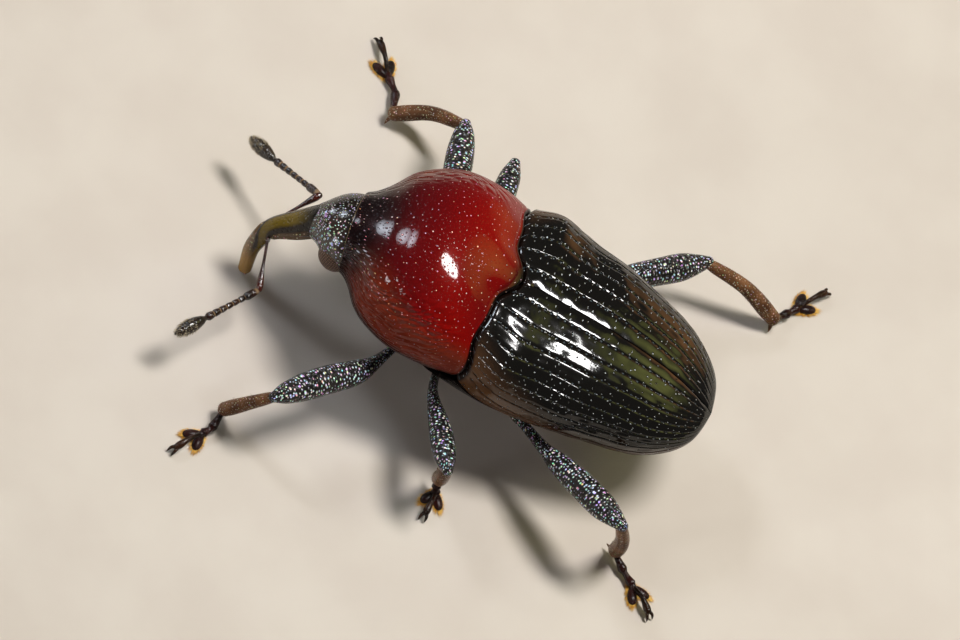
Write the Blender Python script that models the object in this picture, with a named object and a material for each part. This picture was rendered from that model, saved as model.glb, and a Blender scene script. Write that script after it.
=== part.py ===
"""A red and black flower weevil about 3.4 mm long, standing still with its legs spread.

All sizes are in millimetres and are scaled to metres at the end. The body is drawn in
its own frame (x to its left, y to the rear, z up, origin between the hind angles of the
pronotum) and then pitched nose up and lifted. Legs and feelers are placed from the floor.
"""

import math

import bmesh
import bpy
from mathutils import Matrix, Vector

TO_METRES = 0.001
GAP = 0.012  # left between pieces that touch

# Stance
PITCH = math.radians(5.4)  # nose up
LIFT = 1.188  # height of the body frame's origin over the floor

# Pronotum: share of its length ahead of the base, half width, top, bottom
PRONOTUM_LENGTH = 1.28
PRONOTUM = (
    (-1.00, 0.375, 0.095, -0.570),
    (-0.94, 0.385, 0.122, -0.575),
    (-0.87, 0.490, 0.208, -0.570),
    (-0.78, 0.655, 0.330, -0.580),
    (-0.64, 0.787, 0.445, -0.605),
    (-0.45, 0.872, 0.508, -0.625),
    (-0.20, 0.879, 0.473, -0.600),
    (0.00, 0.835, 0.360, -0.565),
)
COLLAR_LEVEL = -0.10  # height of its widest level at the collar
BASE_LEVEL = -0.02  # and at the base
PRONOTUM_POWER = 2.2
COLLAR_SLANT = 0.20
UNDER_SLANT = 0.24  # how far its hind edge runs forward on the way down

# How far the base line reaches back, by share of the half width: a lobe, two bays, two corners
BASE_LINE = ((0.0, 0.130), (0.12, 0.102), (0.3, 0.0), (0.55, -0.014), (0.8, -0.033), (1.0, 0.034))

# Wing covers and the body under them: share of the length, half width, top, bottom
HIND_LENGTH = 2.112
HIND_BODY = (
    (0.00, 0.862, 0.340, -0.735),
    (0.08, 0.905, 0.360, -0.690),
    (0.20, 0.910, 0.352, -0.665),
    (0.40, 0.850, 0.340, -0.620),
    (0.60, 0.750, 0.285, -0.600),
    (0.78, 0.640, 0.185, -0.580),
    (0.90, 0.486, 0.070, -0.500),
    (0.97, 0.315, -0.025, -0.330),
    (1.00, 0.000, -0.080, -0.130),
)
SHOULDER_LEVEL = 0.0
APEX_LEVEL = -0.12
HIND_POWER = 2.3
SHOULDER_BUMP = 0.045
WAIST_HOLLOW = 0.026
WALL = 0.09  # thickness of a wing cover
MARGIN = ((0.0, 12.0), (0.25, 24.0), (0.5, 27.0), (0.8, 23.0), (1.0, 8.0))  # degrees below level
STRIAE = 10
STRIA_DEPTH = 0.010
SCUTELLUM = Vector((0.0, 0.192, 0.335))
SCUTELLUM_RADII = Vector((0.045, 0.055, 0.03))
STERNITES = (0.35, 0.52, 0.67, 0.75, 0.83)  # where the plates of the belly begin
STERNITE_GROOVE = 0.02

# Head, eyes and rostrum, in the body's frame
HEAD_CENTRE = Vector((0.0, -1.213, -0.238))
HEAD_RADII = Vector((0.352, 0.375, 0.318))
EYE_OFFSET = Vector((0.243, -0.092, -0.080))
EYE_RADII = Vector((0.10, 0.14, 0.165))
EYE_TURN = math.radians(21)
ROSTRUM_PATH = (
    Vector((0.0, -1.33, -0.11)),
    Vector((0.0, -1.482, -0.274)),
    Vector((0.017, -1.64, -0.512)),
    Vector((0.052, -1.808, -0.723)),
    Vector((0.099, -1.849, -1.007)),
    Vector((0.154, -1.791, -1.286)),
)
ROSTRUM_GIRTH = ((0.0, 0.16), (0.16, 0.142), (0.37, 0.124), (0.57, 0.090), (0.79, 0.071), (1.0, 0.058))

# Hip, knee, ankle, end of the first foot joint, cleft of the last and claw tip, from the floor
LEGS = {
    "front_left": (
        ((0.49, -0.48, 0.64), (1.60, -1.32, 0.73), (1.53, -1.604, 0.10)),
        ((1.72, -1.636, 0.065), (1.807, -1.70, 0.045), (2.097, -1.885, 0.0)),
    ),
    "middle_left": (
        ((0.44, -0.14, 0.51), (1.564, 0.262, 0.80), (1.30, 0.27, 0.20)),
        ((1.325, 0.29, 0.11), (1.339, 0.31, 0.045), (1.634, 0.29, 0.0)),
    ),
    "hind_left": (
        ((0.63, 0.64, 0.56), (1.39, 1.79, 0.92), (1.138, 1.887, 0.10)),
        ((1.249, 2.018, 0.065), (1.344, 2.156, 0.045), (1.554, 2.389, 0.0)),
    ),
    "front_right": (
        ((-0.49, -0.48, 0.64), (-1.78, -0.70, 0.55), (-1.831, -1.258, 0.10)),
        ((-2.062, -1.302, 0.065), (-2.207, -1.427, 0.045), (-2.511, -1.631, 0.0)),
    ),
    "middle_right": (
        ((-0.44, -0.14, 0.51), (-1.62, -0.19, 0.58), (-1.22, -0.03, 0.10)),
        ((-1.29, 0.12, 0.065), (-1.32, 0.24, 0.045), (-1.36, 0.52, 0.0)),
    ),
    "hind_right": (
        ((-0.63, 0.64, 0.56), (-1.58, 1.65, 0.55), (-1.609, 2.381, 0.10)),
        ((-1.762, 2.486, 0.065), (-1.874, 2.554, 0.045), (-2.155, 2.749, 0.0)),
    ),
}
# How far the femur and the tibia bow from straight
BOWS = {
    "front_left": (Vector((0.10, 0.03, 0.0)), Vector((0.0, 0.0, 0.02))),
    "middle_left": (Vector((0.02, -0.07, 0.0)), Vector((0.02, 0.0, 0.0))),
    "hind_left": (Vector((0.03, 0.0, 0.0)), Vector((0.0, 0.03, 0.0))),
    "front_right": (Vector((0.0, 0.0, 0.03)), Vector((-0.06, 0.0, 0.0))),
    "middle_right": (Vector((0.0, 0.0, 0.03)), Vector((0.0, 0.0, 0.0))),
    "hind_right": (Vector((-0.06, 0.0, 0.02)), Vector((0.0, 0.02, 0.07))),
}
# Radii of a hip, and how far its middle lies inwards of the femur's root
HIPS = {
    "front": (Vector((0.15, 0.15, 0.14)), 0.05),
    "middle": (Vector((0.14, 0.14, 0.13)), 0.05),
    "hind": (Vector((0.18, 0.12, 0.12)), 0.12),
}
FRONT_FEMUR = ((0.12, 0.042), (0.24, 0.062), (0.37, 0.103), (0.52, 0.122), (0.75, 0.119), (0.9, 0.078))
MIDDLE_FEMUR = ((0.2, 0.040), (0.35, 0.056), (0.55, 0.092), (0.72, 0.106), (0.88, 0.092))
HIND_FEMUR = ((0.26, 0.058), (0.37, 0.088), (0.49, 0.110), (0.65, 0.121), (0.81, 0.120), (0.93, 0.080))
FEMORA = {"front": FRONT_FEMUR, "middle": MIDDLE_FEMUR, "hind": HIND_FEMUR}
FEMUR_ENDS = (0.040, 0.046)
TIBIA_GIRTH = ((0.0, 0.040), (0.12, 0.054), (0.5, 0.064), (0.85, 0.071), (1.0, 0.062))
SPUR_GIRTH = ((0.0, 0.024), (1.0, 0.006))
JOINT_GIRTH = ((0.0, 0.024), (0.8, 0.040), (1.0, 0.036))
LOBE_RADII = Vector((0.088, 0.042, 0.032))
LOBE_SPREAD = 0.5
LOBE_HEIGHT = 0.024
CLAW_GIRTH = ((0.0, 0.016), (0.5, 0.018), (1.0, 0.030))
HOOK_GIRTH = ((0.0, 0.014), (0.6, 0.010), (1.0, 0.004))

# Elbow, root of the club and its tip, from the floor
FEELERS = {
    "left": ((0.557, -1.758, 0.491), (1.015, -2.066, 0.492), (1.295, -2.257, 0.485)),
    "right": ((-0.382, -1.618, 0.756), (-0.628, -2.048, 0.553), (-0.791, -2.317, 0.458)),
}
SCAPE_GIRTH = ((0.0, 0.014), (0.5, 0.016), (0.78, 0.030), (0.92, 0.036), (1.0, 0.03))
BEAD_RADII = (0.036, 0.026, 0.025, 0.026, 0.027, 0.029, 0.032)
CLUB_GIRTH = ((0.0, 0.025), (0.1, 0.042), (0.4, 0.064), (0.7, 0.058), (0.9, 0.035), (1.0, 0.015))

BLACK = (0.006, 0.006, 0.007)
RED = (0.18, 0.004, 0.004)
BROWN = (0.035, 0.010, 0.006)

UP = Vector((0.0, 0.0, 1.0))
STAND = Matrix.Translation((0.0, 0.0, LIFT)) @ Matrix.Rotation(-PITCH, 4, "X")


def clear_scene():
    for obj in list(bpy.data.objects):
        bpy.data.objects.remove(obj)


def collection(name):
    found = bpy.data.collections.new(name)
    bpy.context.scene.collection.children.link(found)
    return found


def along(stations, at):
    """The values at a place between stations, on a cubic through its neighbours."""
    at = min(max(at, stations[0][0]), stations[-1][0])
    last = len(stations) - 1
    i = 0
    while i < last - 1 and at > stations[i + 1][0]:
        i += 1
    span = stations[i + 1][0] - stations[i][0]
    t = (at - stations[i][0]) / span
    values = []
    for column in range(1, len(stations[0])):

        def slope(k):
            low, high = stations[max(k - 1, 0)], stations[min(k + 1, last)]
            return (high[column] - low[column]) / (high[0] - low[0])

        value = stations[i][column] * (2 * t**3 - 3 * t**2 + 1)
        value += stations[i + 1][column] * (3 * t**2 - 2 * t**3)
        value += span * slope(i) * (t**3 - 2 * t**2 + t) + span * slope(i + 1) * (t**3 - t**2)
        values.append(value)
    return values if len(values) > 1 else values[0]


def place_mesh(name, work, matrix=Matrix.Identity(4)):
    """Ends a bmesh as an object of its own, with its faces turned outwards."""
    bmesh.ops.transform(work, matrix=matrix, verts=work.verts)
    bmesh.ops.recalc_face_normals(work, faces=work.faces)
    mesh = bpy.data.meshes.new(name)
    work.to_mesh(mesh)
    work.free()
    obj = bpy.data.objects.new(name, mesh)
    bpy.context.scene.collection.objects.link(obj)
    return obj


def loft(name, rings, matrix=Matrix.Identity(4), hollow=0.0):
    """One closed skin over rings of equal count, each end filled, the last hollowed this deep."""
    work = bmesh.new()
    rows = [[work.verts.new(p) for p in ring] for ring in rings]
    for near, far in zip(rows, rows[1:]):
        for j in range(len(near)):
            k = (j + 1) % len(near)
            work.faces.new((near[j], near[k], far[k], far[j]))
    for row in (rows[0], rows[-1]):
        middle = work.verts.new(sum((v.co for v in row), Vector()) / len(row))
        middle.co.y -= hollow if row is rows[-1] else 0.0
        for j in range(len(row)):
            work.faces.new((middle, row[j], row[(j + 1) % len(row)]))
    return place_mesh(name, work, matrix)


def ball(name, centre, radii, turn=Matrix.Identity(3), around=10, rows=7, matrix=Matrix.Identity(4)):
    """An ellipsoid with its poles up and down before it is turned."""
    work = bmesh.new()
    bmesh.ops.create_uvsphere(work, u_segments=around, v_segments=rows, radius=1.0)
    bmesh.ops.scale(work, vec=radii, verts=work.verts)
    bmesh.ops.rotate(work, matrix=turn, verts=work.verts)
    bmesh.ops.translate(work, vec=Vector(centre), verts=work.verts)
    return place_mesh(name, work, matrix)


def smooth_line(knots, steps):
    """Points at even distances on a smooth curve through the knots."""
    knots = [Vector(k) for k in knots]
    ends = [2 * knots[0] - knots[1]] + knots + [2 * knots[-1] - knots[-2]]
    fine = []
    for a, b, c, d in zip(ends, ends[1:], ends[2:], ends[3:]):
        for s in range(24):
            t = s / 24
            cubic = 2 * b + (c - a) * t + (2 * a - 5 * b + 4 * c - d) * t**2
            fine.append((cubic + (3 * b - a - 3 * c + d) * t**3) / 2)
    fine.append(knots[-1])
    lengths = [0.0]
    for a, b in zip(fine, fine[1:]):
        lengths.append(lengths[-1] + (b - a).length)
    points = []
    i = 0
    for step in range(steps + 1):
        want = lengths[-1] * step / steps
        while i < len(fine) - 2 and lengths[i + 1] < want:
            i += 1
        share = (want - lengths[i]) / (lengths[i + 1] - lengths[i])
        points.append(fine[i].lerp(fine[i + 1], share))
    return points


def tube(name, knots, girth, steps=8, sides=8, grow=0.0, matrix=Matrix.Identity(4)):
    """A round limb on a smooth line, its ends rounded off; grow makes a cutter of it."""
    line = smooth_line(knots, steps)
    radii = [along(girth, i / steps) + grow for i in range(steps + 1)]
    first, last = (line[0] - line[1]).normalized(), (line[-1] - line[-2]).normalized()
    head = [(line[0] + first * radii[0] * f, radii[0] * s) for f, s in ((0.75, 0.3), (0.45, 0.8))]
    tail = [(line[-1] + last * radii[-1] * f, radii[-1] * s) for f, s in ((0.45, 0.8), (0.75, 0.3))]
    stops = head + list(zip(line, radii)) + tail
    curve = bpy.data.curves.new(name, "CURVE")
    curve.dimensions = "3D"
    curve.bevel_depth = 1.0
    curve.bevel_resolution = sides // 2 - 2
    curve.use_fill_caps = True
    spline = curve.splines.new("POLY")
    spline.points.add(len(stops) - 1)
    for point, (place, radius) in zip(spline.points, stops):
        point.co = (*place, 1.0)
        point.radius = radius
    guide = bpy.data.objects.new(name, curve)
    bpy.context.scene.collection.objects.link(guide)
    graph = bpy.context.evaluated_depsgraph_get()
    mesh = bpy.data.meshes.new_from_object(guide.evaluated_get(graph))
    work = bmesh.new()
    work.from_mesh(mesh)
    bmesh.ops.remove_doubles(work, verts=work.verts, dist=1e-5)
    bpy.data.objects.remove(guide)
    return place_mesh(name, work, matrix)


def volume(faces):
    total = 0.0
    for face in faces:
        corners = [vert.co for vert in face.verts]
        for a, b in zip(corners[1:], corners[2:]):
            total += corners[0].dot(a.cross(b)) / 6
    return total


def keep_largest(mesh):
    """Keeps the closed surface that holds the most."""
    work = bmesh.new()
    work.from_mesh(mesh)
    left = set(work.faces)
    bodies = []
    while left:
        body = [left.pop()]
        for face in body:
            near = {other for edge in face.edges for other in edge.link_faces}
            body.extend(near & left)
            left -= near
        bodies.append(body)
    bodies.sort(key=volume)
    scraps = [face for body in bodies[:-1] for face in body]
    bmesh.ops.delete(work, geom=scraps, context="FACES")
    bmesh.ops.delete(work, geom=[v for v in work.verts if not v.link_faces], context="VERTS")
    bmesh.ops.triangulate(work, faces=work.faces)
    work.to_mesh(mesh)
    work.free()


def combine(target, others, operation):
    """Joins the others to the target, or cuts them from it, and removes them."""
    group = collection("cutters")
    for other in others:
        group.objects.link(other)
    step = target.modifiers.new("combine", "BOOLEAN")
    step.operation = operation
    step.solver = "EXACT"
    step.operand_type = "COLLECTION"
    step.collection = group
    graph = bpy.context.evaluated_depsgraph_get()
    target.data = bpy.data.meshes.new_from_object(target.evaluated_get(graph))
    target.modifiers.clear()
    for other in others:
        bpy.data.objects.remove(other)
    bpy.data.collections.remove(group)
    keep_largest(target.data)
    return target


def section(half, top, level, bottom, power, degrees):
    """A point of a cross-section: a dome over its widest level, a shallower keel below."""
    a = math.radians(degrees)
    x = half * math.copysign(abs(math.cos(a)) ** (2 / power), math.cos(a))
    rise = abs(math.sin(a))
    if degrees >= 0:
        return x, level + (top - level) * rise ** (2 / power)
    return x, level - (level - bottom) * rise**0.9


def base_reach(share):
    return along(BASE_LINE, min(abs(share), 1.0))


def under_reach(z):
    """How far a hind edge lies ahead of the base line at this height below the widest level."""
    return -UNDER_SLANT * min(1.0, max(0.0, BASE_LEVEL - z) / 0.55) ** 2


def pronotum():
    rings = []
    for step in range(15):
        share = step / 14 - 1
        half, top, bottom = along(PRONOTUM, share)
        level = BASE_LEVEL + (BASE_LEVEL - COLLAR_LEVEL) * share
        ring = []
        for j in range(28):
            x, z = section(half, top, level, bottom, PRONOTUM_POWER, j * 360 / 28 - 180)
            y = share * PRONOTUM_LENGTH
            y += (base_reach(x / half) + under_reach(z)) * max(0.0, 1 + share * 2.2) ** 1.5
            y -= COLLAR_SLANT * (z - level) * max(0.0, -share - 0.7) / 0.3
            ring.append((x, y, z))
        rings.append(ring)
    return loft("pronotum", rings, STAND, 0.06)


def hind_point(share, degrees, raised=0.0):
    """A point of the hind body's outside, at an angle up from its left side."""
    half, top, bottom = along(HIND_BODY, share)
    if share > HIND_BODY[5][0]:
        half = math.sqrt(max(along([(row[0], row[1] ** 2) for row in HIND_BODY], share), 0.0))
    level = SHOULDER_LEVEL + (APEX_LEVEL - SHOULDER_LEVEL) * share
    level = min(max(level, bottom + 0.01), top - 0.01)
    x, z = section(half, top, level, bottom, HIND_POWER, degrees)
    flank = min(abs(degrees - 40), abs(degrees - 140))
    raised += SHOULDER_BUMP * math.exp(-(((share - 0.13) / 0.07) ** 2) - (flank / 28) ** 2)
    raised -= WAIST_HOLLOW * math.exp(-(((share - 0.32) / 0.09) ** 2) - (flank / 32) ** 2)
    out = Vector((x, 0.0, z - level)).normalized() * raised
    y = GAP * 1.5 + share * HIND_LENGTH
    y += (base_reach(x / max(half, 0.001)) + under_reach(z)) * max(0.0, 1 - share / 0.35) ** 2
    return Vector((x + out.x, y, z + out.z))


def elytron(name, hand):
    """One wing cover: a wall with fine grooves that follow the suture, closed all round."""
    rings = []
    for step in range(19):
        share = 1 - (1 - step / 18.8) ** 1.6
        sweep = 90 + along(MARGIN, share)
        ring = []
        for j in range(STRIAE * 3 + 1):
            groove = -STRIA_DEPTH if j % 3 == 2 and 0.02 < share < 0.93 else 0.0
            ring.append(hind_point(share, 90 - sweep * j / (STRIAE * 3), groove))
        wall = WALL * min(1.0, 4 * (1.02 - share))
        for j in range(8, -1, -1):
            ring.append(hind_point(share, 90 - sweep * j / 8, -wall))
        rings.append([(hand * max(p.x, GAP / 2), p.y, p.z) for p in ring])
    return loft(name, rings, STAND)


def under_body(name, rows, grooves=()):
    """The body below the wing covers: a keel outside, and a smaller dome under the covers."""
    rings = []
    for share in rows:
        drop = along(MARGIN, share)
        dent = -STERNITE_GROOVE if share in grooves else 0.0
        ring = []
        for j in range(15):
            ring.append(hind_point(share, -drop - 2 - (176 - 2 * drop) * j / 14, dent))
        for j in range(9):
            ring.append(hind_point(share, 180 + drop * 0.3 - (180 + drop * 0.6) * j / 8, -WALL - GAP * 1.5))
        rings.append(ring)
    return loft(name, rings, STAND)


def hip_ball(name, where, grow=0.0):
    radii, inwards = HIPS[where.split("_")[0]]
    hip = Vector(LEGS[where][0][0])
    centre = hip + Vector((-math.copysign(inwards, hip.x), 0.0, 0.03))
    return ball(name, centre, radii + Vector((grow,) * 3))


def leg(where):
    """Hip, femur, tibia with its spur, the three padded joints of the foot, and the claws."""
    (hip, knee, ankle), (joint, cleft, tip) = ([Vector(p) for p in half] for half in LEGS[where])
    thigh_bow, shin_bow = BOWS[where]
    out = (knee - hip).normalized()
    root = hip + out * 0.04
    stalk = root.lerp(knee, 0.28) + thigh_bow
    thigh = (root, stalk, root.lerp(knee, 0.62) + thigh_bow * 0.45, knee)
    shin = (knee - out * 0.03, knee.lerp(ankle, 0.5) + shin_bow, ankle + UP * 0.02)
    femur_girth = ((0.0, FEMUR_ENDS[0]), *FEMORA[where.split("_")[0]], (1.0, FEMUR_ENDS[1]))
    ahead = Vector((tip.x - joint.x, tip.y - joint.y, 0.0)).normalized()
    across = ahead.cross(UP)

    def claw_spot(share, height, aside=0.0):
        place = cleft.lerp(tip, share) + across * aside
        return Vector((place.x, place.y, height))

    heel = (ankle - UP * 0.005, joint)
    claw = (claw_spot(0.05, 0.07), claw_spot(0.4, 0.10), claw_spot(0.8, 0.07))
    down = (ankle - knee).normalized()
    inner = (-out - down * down.dot(-out)).normalized()
    spur = (ankle + UP * 0.02 + inner * 0.02, ankle + down * 0.03 + inner * 0.09)

    coxa = hip_ball("coxa_" + where, where)
    combine(coxa, [tube("cut", thigh, femur_girth, grow=GAP)], "DIFFERENCE")
    femur = tube("femur_" + where, thigh, femur_girth, 12, 10)
    combine(femur, [tube("cut", shin, TIBIA_GIRTH, grow=GAP)], "DIFFERENCE")
    tibia = tube("tibia_" + where, shin, TIBIA_GIRTH, 7)
    combine(tibia, [tube("spur", spur, SPUR_GIRTH, 1, 4)], "UNION")
    combine(tibia, [tube("cut", heel, JOINT_GIRTH, 2, 8, GAP)], "DIFFERENCE")

    pieces = [tube("second", (joint.lerp(cleft, 0.05), joint.lerp(cleft, 0.8)), JOINT_GIRTH, 2)]
    pieces.append(tube("neck", (joint, cleft + ahead * 0.02), ((0.0, 0.026), (1.0, 0.028)), 1, 6))
    for hand in (1, -1):
        turn = Matrix.Rotation(math.atan2(ahead.y, ahead.x) - hand * LOBE_SPREAD, 3, "Z")
        middle = cleft + ahead * 0.05 + across * (hand * 0.042)
        middle.z = LOBE_HEIGHT
        lobe = ball("lobe", middle, LOBE_RADII, turn, 8, 6)
        for vertex in lobe.data.vertices:
            vertex.co.z = max(vertex.co.z, 0.0)
        pieces.append(lobe)
    tarsus = combine(tube("tarsus_" + where, heel, JOINT_GIRTH, 2), pieces, "UNION")
    combine(tarsus, [tube("cut", claw, CLAW_GIRTH, 4, 6, GAP)], "DIFFERENCE")

    hooks = []
    for hand in (1, -1):
        bend = [claw_spot(0.78, 0.068), claw_spot(0.92, 0.065, hand * 0.03)]
        bend.append(claw_spot(1.0, 0.014, hand * 0.04))
        hooks.append(tube("hook", bend, HOOK_GIRTH, 3, 4))
    claws = combine(tube("claws_" + where, claw, CLAW_GIRTH, 4, 6), hooks, "UNION")
    return [coxa, femur, tibia, tarsus, claws]


def feeler(where, root):
    """Scape, the seven beads of the funicle, and the club."""
    elbow, base, tip = (Vector(p) for p in FEELERS[where])
    way = (base - elbow).normalized()
    beads = [(0.0, 0.02)]
    for k, radius in enumerate(BEAD_RADII):
        beads += [(k / 7 + 0.03, radius * 0.72), (k / 7 + 0.09, radius), ((k + 1) / 7 - 0.01, radius * 0.6)]
    beads.append((1.0, 0.018))
    scape = tube("scape_" + where, (root.lerp(elbow, 0.04), elbow), SCAPE_GIRTH, 6, 6)
    funicle = tube("funicle_" + where, (elbow + way * 0.05, base), beads, 28, 6)
    club = tube("club_" + where, (base + way * 0.04, tip), CLUB_GIRTH, 8, 8)
    return [scape, funicle, club]


def head_and_rostrum():
    grown = HEAD_RADII + Vector((GAP,) * 3)
    head = ball("head", HEAD_CENTRE, HEAD_RADII, around=20, rows=12, matrix=STAND)
    rostrum = tube("rostrum", ROSTRUM_PATH, ROSTRUM_GIRTH, 14, 12, matrix=STAND)
    combine(rostrum, [ball("cut", HEAD_CENTRE, grown, around=20, rows=12, matrix=STAND)], "DIFFERENCE")
    nodes = [head, rostrum]
    for where, hand in (("left", 1), ("right", -1)):
        centre = HEAD_CENTRE + Vector((hand * EYE_OFFSET.x, EYE_OFFSET.y, EYE_OFFSET.z))
        turn = Matrix.Rotation(-hand * EYE_TURN, 3, "Z")
        nodes.append(ball("eye_" + where, centre, EYE_RADII, turn, 12, 8, STAND))
        socket = ball("cut", centre, EYE_RADII + Vector((GAP,) * 3), turn, 12, 8, STAND)
        combine(head, [socket], "DIFFERENCE")
        side = Vector((hand * (along(ROSTRUM_GIRTH, 0.6) + GAP), 0.0, 0.0))
        nodes += feeler(where, STAND @ (ROSTRUM_PATH[3] + side))
    return nodes


def body():
    """Pronotum, wing covers, scutellum, thorax and abdomen, with room for head and hips."""
    chest = pronotum()
    grown = HEAD_RADII + Vector((GAP,) * 3)
    combine(chest, [ball("cut", HEAD_CENTRE, grown, around=20, rows=12, matrix=STAND)], "DIFFERENCE")
    covers = [elytron("elytron_left", 1), elytron("elytron_right", -1)]
    shield = ball("scutellum", SCUTELLUM, SCUTELLUM_RADII, around=10, rows=6, matrix=STAND)
    for cover in covers:
        notch = ball("cut", SCUTELLUM, SCUTELLUM_RADII + Vector((GAP,) * 3), around=10, rows=6, matrix=STAND)
        combine(cover, [notch], "DIFFERENCE")
    thorax = under_body("thorax", [STERNITES[0] * k / 6 for k in range(7)])
    rows = [STERNITES[0] + GAP / HIND_LENGTH]
    for start in STERNITES[1:]:
        rows += [start - 0.015, start, start + 0.015]
    rows += [0.89, 0.95, 0.98]
    belly = under_body("abdomen", rows, STERNITES[1:])
    for where in LEGS:
        hosts = {"front": [chest], "middle": [thorax], "hind": [thorax, belly]}[where.split("_")[0]]
        for host in hosts:
            combine(host, [hip_ball("cut", where, GAP)], "DIFFERENCE")
    return [chest, shield, thorax, belly] + covers


def paint(obj):
    kind = obj.name.split("_")[0]
    colour = RED if kind == "pronotum" else BROWN if kind in ("tarsus", "claws", "scape") else BLACK
    material = bpy.data.materials.new(obj.name)
    material.use_nodes = True
    shader = material.node_tree.nodes["Principled BSDF"]
    shader.inputs["Base Color"].default_value = (*colour, 1)
    shader.inputs["Roughness"].default_value = 0.2
    obj.data.materials.clear()
    obj.data.materials.append(material)
    obj.data.shade_smooth()
    obj.data.set_sharp_from_angle(angle=math.radians(40))


def stand_on_floor(nodes):
    """Scales all to metres, with the middle of the bounding box over the origin."""
    corners = [vertex.co for node in nodes for vertex in node.data.vertices]
    low = Vector([min(c[i] for c in corners) for i in range(3)])
    high = Vector([max(c[i] for c in corners) for i in range(3)])
    shift = Matrix.Translation((-(low.x + high.x) / 2, -(low.y + high.y) / 2, -low.z))
    weevil = bpy.data.objects.new("weevil", None)
    group = collection("weevil")
    group.objects.link(weevil)
    for node in nodes:
        node.data.transform(Matrix.Scale(TO_METRES, 4) @ shift)
        bpy.context.scene.collection.objects.unlink(node)
        group.objects.link(node)
        node.parent = weevil


def main():
    clear_scene()
    nodes = body() + head_and_rostrum()
    for where in LEGS:
        nodes += leg(where)
    for node in nodes:
        paint(node)
    stand_on_floor(nodes)


main()
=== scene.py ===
"""The finished look of a red and black flower weevil, 3.4 mm long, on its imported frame.

All sizes are in millimetres and go to metres when a piece is finished. The body is drawn
in its own frame (x to its left, y to the rear, z up) and then pitched nose up and lifted.
"""

import math

import bpy
import numpy as np
from mathutils import Matrix, Vector


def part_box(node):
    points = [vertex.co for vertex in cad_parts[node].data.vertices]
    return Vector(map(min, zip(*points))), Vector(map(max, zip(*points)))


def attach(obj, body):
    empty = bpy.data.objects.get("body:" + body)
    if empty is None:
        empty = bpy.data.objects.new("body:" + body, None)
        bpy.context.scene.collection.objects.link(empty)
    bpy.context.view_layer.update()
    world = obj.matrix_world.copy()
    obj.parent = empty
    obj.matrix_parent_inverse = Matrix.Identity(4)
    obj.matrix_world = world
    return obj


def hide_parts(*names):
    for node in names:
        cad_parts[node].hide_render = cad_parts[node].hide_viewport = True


MM = 0.001

# Stance
PITCH = math.radians(5.4)
LIFT = 1.188
FROM_BODY = Matrix.Translation((0, 0, LIFT)) @ Matrix.Rotation(-PITCH, 4, "X")

# Pronotum: share of its length ahead of the base, half width, top, bottom
PRONOTUM_LENGTH = 1.28
PRONOTUM = (
    (-1.00, 0.348, 0.048, -0.570),
    (-0.94, 0.392, 0.104, -0.575),
    (-0.87, 0.490, 0.196, -0.570),
    (-0.78, 0.655, 0.330, -0.580),
    (-0.64, 0.787, 0.445, -0.605),
    (-0.45, 0.872, 0.508, -0.625),
    (-0.20, 0.879, 0.473, -0.600),
    (0.00, 0.835, 0.360, -0.565),
)
COLLAR_LEVEL = -0.20  # height of the widest place, at the collar and at the base
BASE_LEVEL = -0.02
PRONOTUM_POWER = 2.2  # how square its section is: 2 is an ellipse
PRONOTUM_GIRTH = 4.4  # for its map, which is in millimetres
PRONOTUM_WALL = 0.05
# Its rolled rims: the height of each fold, then its place and width as shares of the length
PRONOTUM_RIMS = (
    (-0.010, 1.0, 0.008),
    (0.003, 0.985, 0.008),
    (-0.006, 0.965, 0.006),
    (-0.003, 0.0, 0.004),
)
BASE_SHARE = 2.2  # its length, divided by what the base line's bends take to fade out
COLLAR_SHARE = 0.3  # of its length, over which the collar slants
COLLAR_SLANT = 0.20  # how much further forward its rim lies, a millimetre up
COLLAR_LEAD = 0.04  # how far the top of the rim runs forward over the head
UNDER_SLANT = 0.24  # how far the hind edge runs forward at the keel
KEEL_DROP = 0.55  # from the widest level down to there
# How far the hind edge lies behind the base, from its middle to its side
BASE_LINE = ((0.0, 0.130), (0.12, 0.102), (0.3, 0.0), (0.55, -0.014), (0.8, -0.033), (1.0, 0.034))

# Wing covers and the body under them: share of the length, half width, top, bottom
HIND_LENGTH = 2.112
HIND_START = 0.018
BASE_FADE = 0.35  # share of its length over which the base line's bends fade out
LIP = 0.03  # share of its length by which a wing cover goes on under the pronotum
LIP_DROP = 0.06  # how much lower it lies there
HIND_BODY = (
    (0.00, 0.862, 0.340, -0.735),
    (0.08, 0.905, 0.360, -0.690),
    (0.20, 0.910, 0.352, -0.665),
    (0.40, 0.850, 0.340, -0.620),
    (0.60, 0.750, 0.285, -0.600),
    (0.78, 0.640, 0.185, -0.580),
    (0.90, 0.486, 0.070, -0.500),
    (0.97, 0.315, -0.025, -0.330),
    (1.00, 0.000, -0.080, -0.130),
)
ROUNDED_FROM = 0.78  # from here on its width closes like a circle
SHOULDER_LEVEL = 0.0
APEX_LEVEL = -0.12
HIND_POWER = 2.3
# Height, then place and width along as shares of the length, and width round in degrees
SHOULDER = (0.045, 0.13, 0.07, 28)
WAIST = (-0.026, 0.32, 0.09, 32)
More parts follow.
